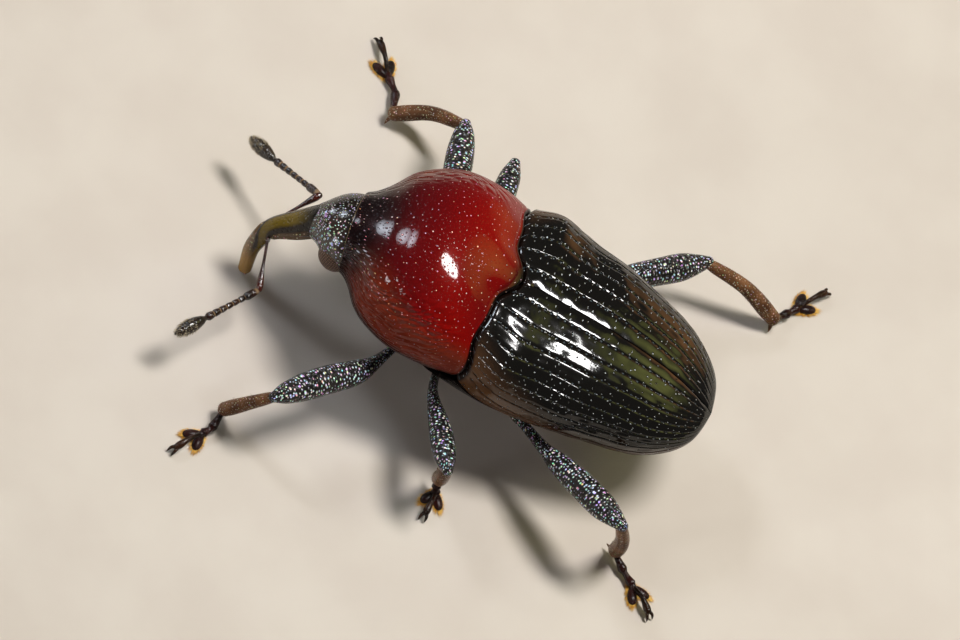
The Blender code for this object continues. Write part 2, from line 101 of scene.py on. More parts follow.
# Degrees by which a wing cover reaches below the widest level, along its length
MARGIN = ((0.0, 12.0), (0.25, 24.0), (0.5, 27.0), (0.8, 23.0), (1.0, 8.0))
STRIAE = 10
STRIA_DEPTH = 0.0075
STRIA_WIDTH = 0.05  # of a stria's spacing
STRIA_SPACING = 0.135
SEAM_SPACE = 1 / 3  # of a spacing, by which the seam lies past where a stria would be
CROWDING = 0.11  # how strongly the rows of points draw towards the striae
CAMBER = 0.0018  # of the strip between two striae
SWELLING = 0.0011  # along each strip
SEAM_ROLL = 0.010  # how far its edges turn down
RIM_ROLL = 0.014
BASE_BEAD = 0.004  # the fine welt along its front edge
WING_WALL = 0.045
SCUTELLUM = (0.0, 0.192, 0.335)
SCUTELLUM_RADII = (0.045, 0.055, 0.03)
THORAX_END = 0.35
ABDOMEN_END = 0.998
PLATE_GAP = 0.006
STERNITES = (0.52, 0.67, 0.75, 0.83)
STERNITE_STEP = 0.016
KEEL_SHARE = 0.75  # of the points round the plates, that lie outside
DOME_GAP = 0.004  # from the plates' hidden dome up to the wing covers' outside, at the tail
DOME_DROP = 0.106  # how much further down it lies ahead of the tail

# Head, eyes and rostrum, in the body's frame
HEAD_CENTRE = Vector((0.0, -1.213, -0.238))
HEAD_RADII = Vector((0.350, 0.350, 0.294))
CHEEK = 0.6  # the head's swelling under each eye, as a share of the eye
MUZZLE_CENTRE = np.array((0.0, -0.25, -0.055))
MUZZLE_WAY = Vector((0.0, -0.55, -0.83)).normalized()
MUZZLE_REACH = 0.24
MUZZLE_WIDTH = 0.152
MELTING = -6.0  # power by which globe, cheeks and muzzle run together
EYE_OFFSET = Vector((0.252, -0.096, -0.080))
EYE_RADII = Vector((0.10, 0.14, 0.165))
EYE_TURN = math.radians(21)
ROSTRUM_PATH = (
    (0.0, -1.37, -0.16),
    (0.0, -1.482, -0.274),
    (0.017, -1.64, -0.512),
    (0.052, -1.808, -0.723),
    (0.099, -1.849, -1.007),
    (0.154, -1.791, -1.286),
)
# Each girth gives radii at shares of a length
ROSTRUM_GIRTH = (
    (0.0, 0.13),
    (0.1, 0.145),
    (0.2, 0.140),
    (0.37, 0.124),
    (0.57, 0.090),
    (0.79, 0.071),
    (1.0, 0.058),
)
JAW_GIRTH = ((0.0, 0.020), (0.5, 0.015), (1.0, 0.005))
SCROBE_DEPTH = 0.028  # the groove for a feeler
FEELER_ROOT = 0.6  # share of the rostrum

# Hip, knee, ankle, end of the first foot joint, cleft of the last and claw tip, from the floor
LEGS = {
    "front_left": (
        ((0.49, -0.48, 0.64), (1.60, -1.32, 0.73), (1.53, -1.604, 0.10)),
        ((1.72, -1.636, 0.065), (1.807, -1.70, 0.045), (2.097, -1.885, 0.0)),
    ),
    "middle_left": (
        ((0.44, -0.14, 0.51), (1.564, 0.262, 0.80), (1.30, 0.27, 0.20)),
        ((1.325, 0.29, 0.11), (1.339, 0.31, 0.045), (1.634, 0.29, 0.0)),
    ),
    "hind_left": (
        ((0.63, 0.64, 0.56), (1.39, 1.79, 0.92), (1.138, 1.887, 0.10)),
        ((1.249, 2.018, 0.065), (1.344, 2.156, 0.045), (1.554, 2.389, 0.0)),
    ),
    "front_right": (
        ((-0.49, -0.48, 0.64), (-1.78, -0.70, 0.55), (-1.831, -1.258, 0.10)),
        ((-2.062, -1.302, 0.065), (-2.207, -1.427, 0.045), (-2.511, -1.631, 0.0)),
    ),
    "middle_right": (
        ((-0.44, -0.14, 0.51), (-1.62, -0.19, 0.58), (-1.22, -0.03, 0.10)),
        ((-1.29, 0.12, 0.065), (-1.32, 0.24, 0.045), (-1.36, 0.52, 0.0)),
    ),
    "hind_right": (
        ((-0.63, 0.64, 0.56), (-1.58, 1.65, 0.55), (-1.609, 2.381, 0.10)),
        ((-1.762, 2.486, 0.065), (-1.874, 2.554, 0.045), (-2.155, 2.749, 0.0)),
    ),
}
# How far the thigh and the shin bow
BOWS = {
    "front_left": (Vector((0.10, 0.03, 0.0)), Vector((0.0, 0.0, 0.02))),
    "middle_left": (Vector((0.02, -0.07, 0.0)), Vector((0.02, 0.0, 0.0))),
    "hind_left": (Vector((0.03, 0.0, 0.0)), Vector((0.0, 0.03, 0.0))),
    "front_right": (Vector((0.0, 0.0, 0.03)), Vector((-0.06, 0.0, 0.0))),
    "middle_right": (Vector((0.0, 0.0, 0.03)), Vector((0.0, 0.0, 0.0))),
    "hind_right": (Vector((-0.06, 0.0, 0.02)), Vector((0.0, 0.02, 0.07))),
}
# A hip's radii, and how far inwards its middle lies
HIPS = {
    "front": (Vector((0.15, 0.15, 0.14)), 0.05),
    "middle": (Vector((0.14, 0.14, 0.13)), 0.05),
    "hind": (Vector((0.18, 0.12, 0.12)), 0.12),
}
FEMORA = {
    "front": (
        ((0.0, 0.040), (0.12, 0.042), (0.24, 0.062), (0.37, 0.103))
        + ((0.52, 0.122), (0.75, 0.122), (0.91, 0.092), (1.0, 0.046))
    ),
    "middle": (
        ((0.0, 0.040), (0.2, 0.040), (0.35, 0.056), (0.55, 0.092))
        + ((0.72, 0.106), (0.88, 0.092), (1.0, 0.046))
    ),
    "hind": (
        ((0.0, 0.040), (0.26, 0.058), (0.37, 0.088), (0.49, 0.110))
        + ((0.65, 0.121), (0.81, 0.120), (0.93, 0.080), (1.0, 0.046))
    ),
}
RING_GIRTH = ((0.0, 0.052), (1.0, 0.05))
NECK_GIRTH = ((0.0, 0.026), (1.0, 0.028))
TIBIA_GIRTH = ((0.0, 0.040), (0.12, 0.054), (0.5, 0.064), (0.85, 0.071), (1.0, 0.062))
SPUR_GIRTH = ((0.0, 0.024), (0.5, 0.017), (1.0, 0.004))
JOINT_GIRTH = ((0.0, 0.022), (0.5, 0.030), (0.9, 0.041), (1.0, 0.034))
LOBE_RADII = (0.088, 0.042, 0.032)
LOBE_SPREAD = 0.5
LOBE_HEIGHT = 0.024
SOLE = 0.0006  # how far the lobes stay off the floor
FRINGE = 200  # hairs a lobe
BRISTLES = 46  # down the inner side of a shin
COMB = 22  # hairs round the shin's end
CLAW_GIRTH = ((0.0, 0.018), (0.5, 0.021), (0.85, 0.033), (1.0, 0.029))
HOOK_GIRTH = ((0.0, 0.017), (0.4, 0.014), (0.8, 0.008), (1.0, 0.002))

# Elbow, root of the club and its tip, from the floor
FEELERS = {
    "left": ((0.557, -1.758, 0.491), (1.015, -2.066, 0.492), (1.295, -2.257, 0.485)),
    "right": ((-0.382, -1.618, 0.756), (-0.628, -2.048, 0.553), (-0.791, -2.317, 0.458)),
}
SCAPE_GIRTH = ((0.0, 0.014), (0.5, 0.016), (0.78, 0.030), (0.92, 0.036), (1.0, 0.03))
BEAD_RADII = (0.036, 0.027, 0.026, 0.027, 0.029, 0.032, 0.036)
BEAD_STARTS = (0.0, 0.23, 0.36, 0.485, 0.61, 0.74, 0.87, 1.0)
BEAD_SHAPE = ((0.0, 0.70), (0.3, 0.90), (0.75, 1.0), (0.95, 0.95), (1.0, 0.82))
BEAD_GAP = 0.004  # share of the funicle
CLUB_GIRTH = ((0.0, 0.025), (0.1, 0.042), (0.4, 0.064), (0.7, 0.058), (0.9, 0.035), (1.0, 0.012))
CLUB_RINGS = (0.42, 0.64, 0.82)
CLUB_NECK = 0.03
DOWN = 300  # hairs a club

# The photograph's view: image right, image up and back towards the lens
VIEW_RIGHT = Vector((-0.32533, 0.90011, 0.28975))
VIEW_UP = Vector((-0.78339, -0.42817, 0.45052))
VIEW_BACK = Vector((0.52958, -0.08042, 0.84444))
VIEW_CENTRE = Vector((-0.159, -0.135, 0.087))
VIEW_WIDTH = 8.03  # that the picture takes in, at the back of the body
VIEW_DISTANCE = 220.0
SENSOR = 36.0
BODY_DEPTH = 0.9  # how far the back lies from the view's centre towards the lens
LAMP_DISTANCE = 65.0
LAMP_AIM = Vector((0, 0, 0.9))

UP = Vector((0.0, 0.0, 1.0))
STEPS = 80  # along the smooth line of a limb
CAP = 0.12  # share of a limb's rows that rounds each end
DOUBLES = 0.0004
HAIR_SIDES = 3
DOWN_WIDTH = 0.0022  # from a hair's middle to its corners, at the root
FRINGE_WIDTH = 0.0030
BRISTLE_WIDTH = 0.0020


def along(stations, at):
    """The values at places between stations, on a cubic through their neighbours."""
    table = np.array(stations, float)
    place, values = table[:, 0], table[:, 1:]
    slopes = np.empty_like(values)
    slopes[1:-1] = (values[2:] - values[:-2]) / (place[2:] - place[:-2])[:, None]
    slopes[0] = (values[1] - values[0]) / (place[1] - place[0])
    slopes[-1] = (values[-1] - values[-2]) / (place[-1] - place[-2])
    at = np.clip(np.asarray(at, float), place[0], place[-1])
    i = np.clip(np.searchsorted(place, at, side="left") - 1, 0, len(place) - 2)
    span = (place[i + 1] - place[i])[..., None]
    t = ((at - place[i])[..., None]) / span
    found = values[i] * (2 * t**3 - 3 * t**2 + 1) + values[i + 1] * (3 * t**2 - 2 * t**3)
    found += span * (slopes[i] * (t**3 - 2 * t**2 + t) + slopes[i + 1] * (t**3 - t**2))
    return found[..., 0] if values.shape[1] == 1 else np.moveaxis(found, -1, 0)


def smooth_step(low, high, at):
    """From 0 to 1 between two places, level at both."""
    t = np.clip((at - low) / (high - low), 0.0, 1.0)
    return t * t * (3 - 2 * t)


def hump(at, centre, width):
    """1 at the centre, and 0.37 a width away from it."""
    return np.exp(-(((at - centre) / width) ** 2))


def smooth_line(knots, count):
    """This many points at even distances on a smooth curve through the knots, and its length."""
    knots = np.array([tuple(k) for k in knots], float)
    ends = np.vstack((2 * knots[0] - knots[1], knots, 2 * knots[-1] - knots[-2]))
    t = np.linspace(0, 1, 40, endpoint=False)[:, None]
    fine = []
    for a, b, c, d in zip(ends, ends[1:], ends[2:], ends[3:]):
        cubic = 2 * b + (c - a) * t + (2 * a - 5 * b + 4 * c - d) * t**2
        fine.append((cubic + (3 * b - a - 3 * c + d) * t**3) / 2)
    fine = np.vstack(fine + [knots[-1:]])
    lengths = np.concatenate(([0.0], np.cumsum(np.linalg.norm(np.diff(fine, axis=0), axis=1))))
    even = np.linspace(0, lengths[-1], count)
    return np.stack([np.interp(even, lengths, fine[:, i]) for i in range(3)], axis=1), lengths[-1]


# Making and finishing a mesh


def deselect():
    if bpy.context.object and bpy.context.object.mode != "OBJECT":
        bpy.ops.object.mode_set(mode="OBJECT")
    bpy.ops.object.select_all(action="DESELECT")


def points_of(obj):
    """A mesh's points, one a row."""
    flat = np.empty(len(obj.data.vertices) * 3)
    obj.data.vertices.foreach_get("co", flat)
    return flat.reshape(-1, 3)


def move_points(obj, points):
    obj.data.vertices.foreach_set("co", np.asarray(points, float).ravel())
    obj.data.update()


def stretch_map(obj, wide, long):
    """Turns the shares of the piece's UV map into millimetres across and along the surface."""
    layer = obj.data.uv_layers.active
    layer.name = "Surface"
    uv = np.empty(len(layer.data) * 2)
    layer.data.foreach_get("uv", uv)
    uv = uv.reshape(-1, 2)
    uv[:, 0] = wide(uv[:, 0]) if callable(wide) else uv[:, 0] * wide
    uv[:, 1] = long(uv[:, 1]) if callable(long) else uv[:, 1] * long
    layer.data.foreach_set("uv", uv.ravel())


def mark(obj, name, values):
    """Keeps one number a point, for the materials."""
    attribute = obj.data.attributes.new(name, "FLOAT", "POINT")
    attribute.data.foreach_set("value", np.asarray(values, float).ravel())


def sheet(name, across, down, surface, marks=None):
    """A flat grid drawn over a surface, which is given as rows of points."""
    deselect()
    cells = {"x_subdivisions": across, "y_subdivisions": down}
    bpy.ops.mesh.primitive_grid_add(size=1.0, calc_uvs=True, **cells)
    obj = bpy.context.object
    obj.name = name
    flat = points_of(obj)
    column = np.rint((flat[:, 0] + 0.5) * across).astype(int)
    row = np.rint((flat[:, 1] + 0.5) * down).astype(int)
    move_points(obj, surface[row, column])
    for key, values in (marks or {}).items():
        mark(obj, key, values[row, column])
    return obj


def grid_shares(across, down):
    """The shares across and down at a grid's points."""
    return np.meshgrid(np.linspace(0, 1, across + 1), np.linspace(0, 1, down + 1))


def raised(surface, height):
    """The surface moved along its normals, away from the middle of each row, by this height."""
    normal = np.cross(np.gradient(surface, axis=1), np.gradient(surface, axis=0))
    normal /= np.maximum(np.linalg.norm(normal, axis=2, keepdims=True), 1e-9)
    outward = surface - surface.mean(axis=1, keepdims=True)
    if (normal * outward).sum() < 0:
        normal = -normal
    return surface + normal * height[..., None]


def ball(name, radii, centre=(0, 0, 0), turn=Matrix.Identity(3), around=48, rows=32, lying=False):
    """A ball squeezed to three radii and turned; lying has its poles before and behind."""
    deselect()
    bpy.ops.mesh.primitive_uv_sphere_add(segments=around, ring_count=rows, calc_uvs=True)
    obj = bpy.context.object
    obj.name = name
    points = points_of(obj)
    if lying:
        points = np.stack((points[:, 0], points[:, 2], -points[:, 1]), axis=1)
    points = points * np.array(tuple(radii))
    move_points(obj, points @ np.array(turn).T + np.array(tuple(centre)))
    obj.data.uv_layers.active.name = "Surface"
    return obj


def frames(line, back):
    """Forward, back and side directions at each point of a line."""
    forward = np.gradient(line, axis=0)
    forward /= np.linalg.norm(forward, axis=1, keepdims=True)
    back = np.array(tuple(back), float)
    upper = back - forward * (forward @ back)[:, None]
    upper /= np.linalg.norm(upper, axis=1, keepdims=True)
    return forward, upper, np.cross(forward, upper)


def limb(name, knots, girth, back, around, rows, flat=1.0, form=None):
    """A ball drawn out along a smooth line, with rounded ends, its back kept towards one side.

    form takes the share along the line, the angle round from the back and the radius in
    millimetres, and gives the new radius.
    """
    obj = ball(name, (1, 1, 1), around=around, rows=rows)
    unit = points_of(obj)
    share = np.arcsin(np.clip(unit[:, 2], -1, 1)) / math.pi + 0.5
    angle = np.arctan2(unit[:, 1], unit[:, 0])
    line, length = smooth_line(knots, STEPS + 1)
    forward, upper, side = frames(line, back)
    start, end = (0.75 * float(along(girth, s)) for s in (0.0, 1.0))

    def reach(t):
        """How far along the line a share of the ball's rows lies, past its ends too."""
        body = length * (t - CAP) / (1 - 2 * CAP)
        head = -start * np.cos(np.clip(t / CAP, 0, 1) * math.pi / 2)
        tail = length + end * np.cos(np.clip((1 - t) / CAP, 0, 1) * math.pi / 2)
        return np.where(t < CAP, head, np.where(t > 1 - CAP, tail, body))

    place = reach(share)
    rounding = np.sin(np.clip(np.minimum(share, 1 - share) / CAP, 0, 1) * math.pi / 2)
    at = np.clip(place / length, 0, 1)
    radius = along(girth, at)
    if form is not None:
        radius = form(at, angle, radius)
    radius = radius * rounding
    stops = np.linspace(0, 1, STEPS + 1)

    def follow(rows_of):
        return np.stack([np.interp(at, stops, rows_of[:, i]) for i in range(3)], axis=1)

    ahead = follow(forward) * (place - at * length)[:, None]
    out = follow(upper) * (np.cos(angle) * radius)[:, None]
    out += follow(side) * (np.sin(angle) * radius * flat)[:, None]
    move_points(obj, follow(line) + ahead + out)
    mean = 2 * math.pi * float(np.mean([row[1] for row in girth]))
    stretch_map(obj, mean, reach)
    mark(obj, "share", at)
    mark(obj, "round", np.cos(angle))
    return obj


def pick(*objects):
    """Selects these alone, the first of them active."""
    deselect()
    for obj in objects:
        obj.select_set(True)
    bpy.context.view_layer.objects.active = objects[0]


def join(name, pieces):
    """Makes one mesh of several."""
    pick(*pieces)
    bpy.ops.object.join()
    pieces[0].name = name
    return pieces[0]


def mend(obj, gap=DOUBLES, fill=True):
    """Merges a seam's doubles, closes what is open, and turns every face outwards."""
    pick(obj)
    bpy.ops.object.mode_set(mode="EDIT")
    bpy.ops.mesh.select_all(action="SELECT")
    bpy.ops.mesh.remove_doubles(threshold=gap)
    if fill:
        bpy.ops.mesh.fill_holes(sides=0)
    bpy.ops.mesh.normals_make_consistent(inside=False)
    bpy.ops.object.mode_set(mode="OBJECT")
    return obj


def thicken(obj, wall, share=None):
    """Gives an open skin its wall, inwards, with a rim, thinner where the share of it is less."""
    if share is not None:
        group = obj.vertex_groups.new(name="wall")
        for index, weight in enumerate(share):
            group.add([index], float(weight), "REPLACE")
    mend(obj, fill=False)
    step = obj.modifiers.new("wall", "SOLIDIFY")
    step.thickness = wall
    step.offset = -1
    if share is not None:
        step.vertex_group = "wall"
    bpy.ops.object.modifier_apply(modifier=step.name)


def to_floor(obj):
    """From the body's frame to the floor's, still in millimetres."""
    obj.data.transform(FROM_BODY)
    return obj


def stand(point):
    """A point of the body's frame, from the floor."""
    return FROM_BODY @ Vector(point)


def finish(obj, nodes, material, crease=40):
    """Puts a piece in its place on the frame, smooths it, and stands it for its CAD nodes."""
    obj.data.transform(Matrix.Scale(MM, 4) @ Matrix.Translation(SHIFT))
    obj.data.materials.clear()
    obj.data.materials.append(material)
    pick(obj)
    bpy.ops.object.shade_smooth_by_angle(angle=math.radians(crease))
    if nodes:
        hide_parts(*nodes)
    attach(obj, "root")


# The body's surfaces


def section(half, top, level, bottom, power, degrees):
    """Points of a cross-section: a dome over its widest level, a shallower keel below."""
    a = np.radians(degrees)
    x = half * np.sign(np.cos(a)) * np.abs(np.cos(a)) ** (2 / power)
    rise = np.abs(np.sin(a))
    over = level + (top - level) * rise ** (2 / power)
    return x, np.where(np.sin(a) >= 0, over, level - (level - bottom) * rise**0.9)


def under_reach(z):
    """What is added to the base line below the widest level, where it runs forward."""
    return -UNDER_SLANT * np.clip((BASE_LEVEL - z) / KEEL_DROP, 0, 1) ** 2


def pronotum_surface(share, degrees):
    """The pronotum's outside, at an angle up from its left side; the base is 0, the collar -1."""
    half, top, bottom = along(PRONOTUM, share)
    level = BASE_LEVEL + (COLLAR_LEVEL - BASE_LEVEL) * np.abs(share) ** 3
    x, z = section(half, top, level, bottom, PRONOTUM_POWER, degrees)
    hind = along(BASE_LINE, np.clip(np.abs(x / half), 0, 1)) + under_reach(z)
    y = share * PRONOTUM_LENGTH + hind * np.clip(1 + share * BASE_SHARE, 0, None) ** 1.5
    fore = np.clip(-share - (1 - COLLAR_SHARE), 0, None) / COLLAR_SHARE
    return np.stack((x, y - COLLAR_SLANT * (z + 0.10) * fore, z), axis=-1)


def hind_surface(share, degrees, lift=0.0):
    """The hind body's outside, at an angle up from its left side."""
    half, top, bottom = along(HIND_BODY, share)
    squares = along([(row[0], row[1] ** 2) for row in HIND_BODY], share)
    half = np.where(share > ROUNDED_FROM, np.sqrt(np.clip(squares, 0, None)), half)
    level = SHOULDER_LEVEL + (APEX_LEVEL - SHOULDER_LEVEL) * share
    level = np.minimum(np.maximum(level, bottom + 0.01), top - 0.01)
    x, z = section(half, top, level, bottom, HIND_POWER, degrees)
    flank = np.minimum(np.abs(degrees - 40), np.abs(degrees - 140))
    for rise, place, long, wide in (SHOULDER, WAIST):
        lift = lift + rise * hump(share, place, long) * hump(flank, 0, wide)
    out = np.stack((x, np.zeros_like(x), z - level), axis=-1)
    out /= np.maximum(np.linalg.norm(out, axis=-1, keepdims=True), 1e-6)
    hind = along(BASE_LINE, np.clip(np.abs(x / np.maximum(half, 0.001)), 0, 1)) + under_reach(z)
    y = HIND_START + share * HIND_LENGTH + hind * np.clip(1 - share / BASE_FADE, 0, None) ** 2
    return np.stack((x, y, z), axis=-1) + out * lift[..., None]


def pronotum(materials):
    """A tube from the collar to the base, with its rims rolled and its wall inside."""
    across, down = 200, 130
    u, v = grid_shares(across, down)
    degrees = u * 360 - 90
    rims = sum(rise * hump(v, place, width) for rise, place, width in PRONOTUM_RIMS)
    surface = raised(pronotum_surface(v - 1, degrees), rims)
    top = np.clip(np.sin(np.radians(degrees)), 0, 1) ** 1.5
    surface[..., 1] -= COLLAR_LEAD * top * (1 - smooth_step(0.0, 0.22, v))
    flank = np.abs(degrees - 90) / 180
    marks = {"flank": flank, "share": v}
    # Where the pits' painted glints grow larger: a patch on each upper flank near the front
    marks["glint"] = 0.9 * hump(v, 0.20, 0.13) * hump(flank, 0.34, 0.08)
    obj = sheet("pronotum_shell", across, down, surface, marks)
    stretch_map(obj, PRONOTUM_GIRTH, PRONOTUM_LENGTH)
    thicken(obj, PRONOTUM_WALL)
    finish(to_floor(obj), ["pronotum"], materials["red"])


def elytron_share(t):
    """The rows of a wing cover, from its lip back, close together at the apex."""
    return 1 - (1 + LIP) * (1 - t * 0.9995) ** 1.5


def elytron(name, node, hand, materials):
    """One wing cover, with its grooves sunk in and its edges rolled down."""
    across, down = STRIAE * 10, 170
    u, v = grid_shares(across, down)
    cell = u * STRIAE + SEAM_SPACE
    crowd = math.sin(2 * math.pi * SEAM_SPACE) * (1 - u) - np.sin(2 * math.pi * cell)
    cell = cell + CROWDING * (crowd + math.sin(2 * math.pi * (STRIAE + SEAM_SPACE)) * u)
    u = (cell - SEAM_SPACE) / STRIAE
    share = elytron_share(v)
    stria = np.rint(cell)
    near = np.abs(cell - stria)
    blunt = 1 - smooth_step(0.93, 0.985, share)
    fade = smooth_step(0.005, 0.04, share) * blunt
    sunk = (stria >= 1) & (stria <= STRIAE)
    lift = -STRIA_DEPTH * np.exp(-((near / STRIA_WIDTH) ** 2)) * fade * sunk
    lift += CAMBER * np.sin(math.pi * np.clip(near * 2, 0, 1)) * fade
    lift -= (SEAM_ROLL * hump(u, 0, 0.008) + RIM_ROLL * hump(u, 1, 0.010)) * blunt
    # Uneven swells, 0.2 and 0.3 mm long, out of step from strip to strip
    swell = np.sin(2 * math.pi * (share * 7.1 + 0.35 * stria) + 1.7 * np.sin(cell * 0.9))
    lift += SWELLING * (swell + np.sin(2 * math.pi * share * 11.3 + 2.1 * stria)) * fade
    lift -= LIP_DROP * (1 - smooth_step(-0.010, 0.002, share))
    lift += BASE_BEAD * hump(share, 0.010, 0.005)
    degrees = 90 - (90 + along(MARGIN, share)) * u
    surface = hind_surface(share, degrees, lift)
    surface[..., 0] = hand * np.maximum(surface[..., 0], 0.005)
    obj = sheet(name, across, down, surface, {"side": u, "share": share})
    even = np.linspace(0, 1, across + 1)
    stretch_map(
        obj,
        lambda s: np.interp(s, even, cell[0]),
        lambda t: elytron_share(t) * HIND_LENGTH,
    )
    closing = np.empty(len(obj.data.vertices))
    obj.data.attributes["share"].data.foreach_get("value", closing)
    thicken(obj, WING_WALL, np.clip((1.0 - closing) / 0.10, 0.03, 1.0))
    finish(to_floor(obj), [node], materials["black"])


def under_body(name, node, start, end, down, steps, materials):
    """The plates below: a keel outside, and a smaller dome hidden under the wing covers."""
    across = 96
    u, v = grid_shares(across, down)
    share = end - (end - start) * (1 - v) ** (1.5 if steps else 1.0)
    drop = along(MARGIN, share)
    outside = u <= KEEL_SHARE
    keel = -drop - 2 - (176 - 2 * drop) * np.clip(u / KEEL_SHARE, 0, 1)
    dome = 180 + drop * 0.3 - (180 + drop * 0.6) * np.clip((u - 0.76) / 0.24, 0, 1)
    lift = np.where(outside, 0.0, -DOME_GAP - DOME_DROP * np.clip((1 - share) / 0.10, 0, 1))
    for step in steps:
        past = (share - step) / 0.05
        lift -= outside * (past >= 0) * STERNITE_STEP * np.exp(-np.clip(past, 0, None))
    surface = hind_surface(share, np.where(outside, keel, dome), lift)
    obj = sheet(name, across, down, surface, {"share": share})
    stretch_map(obj, 4.0, (end - start) * HIND_LENGTH)
    finish(to_floor(mend(obj, 0.001)), [node], materials["plates"], 30)


def scutellum(materials):
    """A small shield between the wing covers' bases, flat on top and pointed behind."""
    obj = ball("scutellum_shield", SCUTELLUM_RADII, around=32, rows=20)
    points = points_of(obj)
    points[:, 0] *= 1 - 0.35 * np.clip(points[:, 1] / SCUTELLUM_RADII[1], 0, 1)
    points[:, 2] = np.where(points[:, 2] > 0, points[:, 2] * 0.8, points[:, 2])
    move_points(obj, points + np.array(SCUTELLUM))
    finish(to_floor(mend(obj)), ["scutellum"], materials["black"])


# Head


def fullness(points):
    """More than 1 inside the head: its globe, cheeks and muzzle melted together."""
    total = np.linalg.norm(points / np.array(HEAD_RADII), axis=1) ** MELTING
    for hand in (1, -1):
        spot = np.array((hand * EYE_OFFSET.x, EYE_OFFSET.y, EYE_OFFSET.z))
        turn = np.array(Matrix.Rotation(hand * EYE_TURN, 3, "Z"))
        local = (points - spot) @ turn.T / (np.array(EYE_RADII) * CHEEK)
        total += np.maximum(np.linalg.norm(local, axis=1), 0.1) ** MELTING
    off = points - MUZZLE_CENTRE
    ahead = off @ np.array(MUZZLE_WAY)
    beside = np.linalg.norm(off - ahead[:, None] * np.array(MUZZLE_WAY), axis=1)
    muzzle = np.hypot(ahead / MUZZLE_REACH, beside / MUZZLE_WIDTH)
    return total + np.maximum(muzzle, 0.1) ** MELTING


def head(materials):
    """A globe sunk in the collar, flowing out under both eyes and into the rostrum."""
    obj = ball("head_globe", (1, 1, 1), around=160, rows=120, lying=True)
    unit = points_of(obj)
    inner, outer = np.full(len(unit), 0.22), np.full(len(unit), 0.75)
    for _ in range(24):
        middle = (inner + outer) / 2
        inside = fullness(unit * middle[:, None]) > 1
        inner, outer = np.where(inside, middle, inner), np.where(inside, outer, middle)
    move_points(obj, unit * inner[:, None] + np.array(HEAD_CENTRE))
    stretch_map(obj, 2.2, 1.1)
    # Where the head's painted glints grow larger and a warmer painted sheen lies: its front left
    # side
    mark(obj, "glint", smooth_step(0.45, 0.9, unit @ np.array((0.62, -0.78, 0.08))))
    finish(to_floor(mend(obj)), ["head"], materials["head"])


def eye(where, hand, materials):
    """An oval eye turned a little forward, sunk in its cheek."""
    turn = Matrix.Rotation(-hand * EYE_TURN, 3, "Z")
    centre = HEAD_CENTRE + Vector((hand * EYE_OFFSET.x, EYE_OFFSET.y, EYE_OFFSET.z))
    obj = ball("facets_" + where, EYE_RADII, centre, turn, 72, 48)
    stretch_map(obj, 0.85, 0.48)
    finish(to_floor(mend(obj)), ["eye_" + where], materials["eye"])


def rostrum(materials):
    """The curved snout, with a slanting groove for each feeler, and the jaws at its end."""

    def form(share, angle, radius):
        slope = 0.42 + 0.22 * np.clip((FEELER_ROOT - share) / 0.45, 0, 1)
        reach = smooth_step(0.14, 0.3, share) * (1 - smooth_step(0.60, 0.66, share))
        for hand in (1, -1):
            off = (angle - hand * math.pi * slope) / 0.20
            radius = radius - SCROBE_DEPTH * np.exp(-(off**2)) * reach
        return radius * (1 + 0.05 * hump(share, 0.62, 0.07) * np.abs(np.sin(angle)) ** 3)

    pieces = [limb("snout", ROSTRUM_PATH, ROSTRUM_GIRTH, (0, 0.2, 1), 72, 130, form=form)]
    tip = Vector(ROSTRUM_PATH[-1])
    way = (tip - Vector(ROSTRUM_PATH[-2])).normalized()
    for hand in (1, -1):
        root = tip + way * 0.004 + Vector((hand * 0.020, 0.018, 0.0))
        aside = Vector((hand, 0, 0))
        jaw = (root, root + way * 0.026 + aside * 0.006, root + way * 0.045 - aside * 0.016)
        pieces.append(limb("jaw", jaw, JAW_GIRTH, (0, -1, 0), 12, 12))
    obj = to_floor(join("snout", pieces))
    finish(mend(obj), ["rostrum"], materials["snout"])


def feeler(where, hand, materials):
    """The scape, seven beads and a ringed club with its down."""
    elbow, base, tip = (Vector(p) for p in FEELERS[where])
    root = stand(Vector(ROSTRUM_PATH[3]) + Vector((hand * 0.10, 0, 0)))
    way = (base - elbow).normalized()
    scape = limb("stalk_" + where, (root, elbow), SCAPE_GIRTH, UP, 20, 40, 0.9)
    finish(mend(scape), ["scape_" + where], materials["amber"])
    pieces = []
    start = elbow + way * 0.02
    for radius, near, far in zip(BEAD_RADII, BEAD_STARTS, BEAD_STARTS[1:]):
        ends = (start.lerp(base, near), start.lerp(base, far - BEAD_GAP))
        girth = [(share, radius * part) for share, part in BEAD_SHAPE]
        pieces.append(limb("bead", ends, girth, UP, 20, 22))
    beads = join("beads_" + where, pieces)
    finish(mend(beads), ["funicle_" + where], materials["bead"])

    def form(share, angle, radius):
        return radius * (1 - 0.10 * sum(hump(share, at, 0.018) for at in CLUB_RINGS))

    root = base + way * CLUB_NECK
    club = limb("knob_" + where, (root, tip), CLUB_GIRTH, UP, 32, 70, 0.94, form)
    finish(mend(club), ["club_" + where], materials["club"])
    down_of("down_" + where, root, tip, materials)


# Hairs


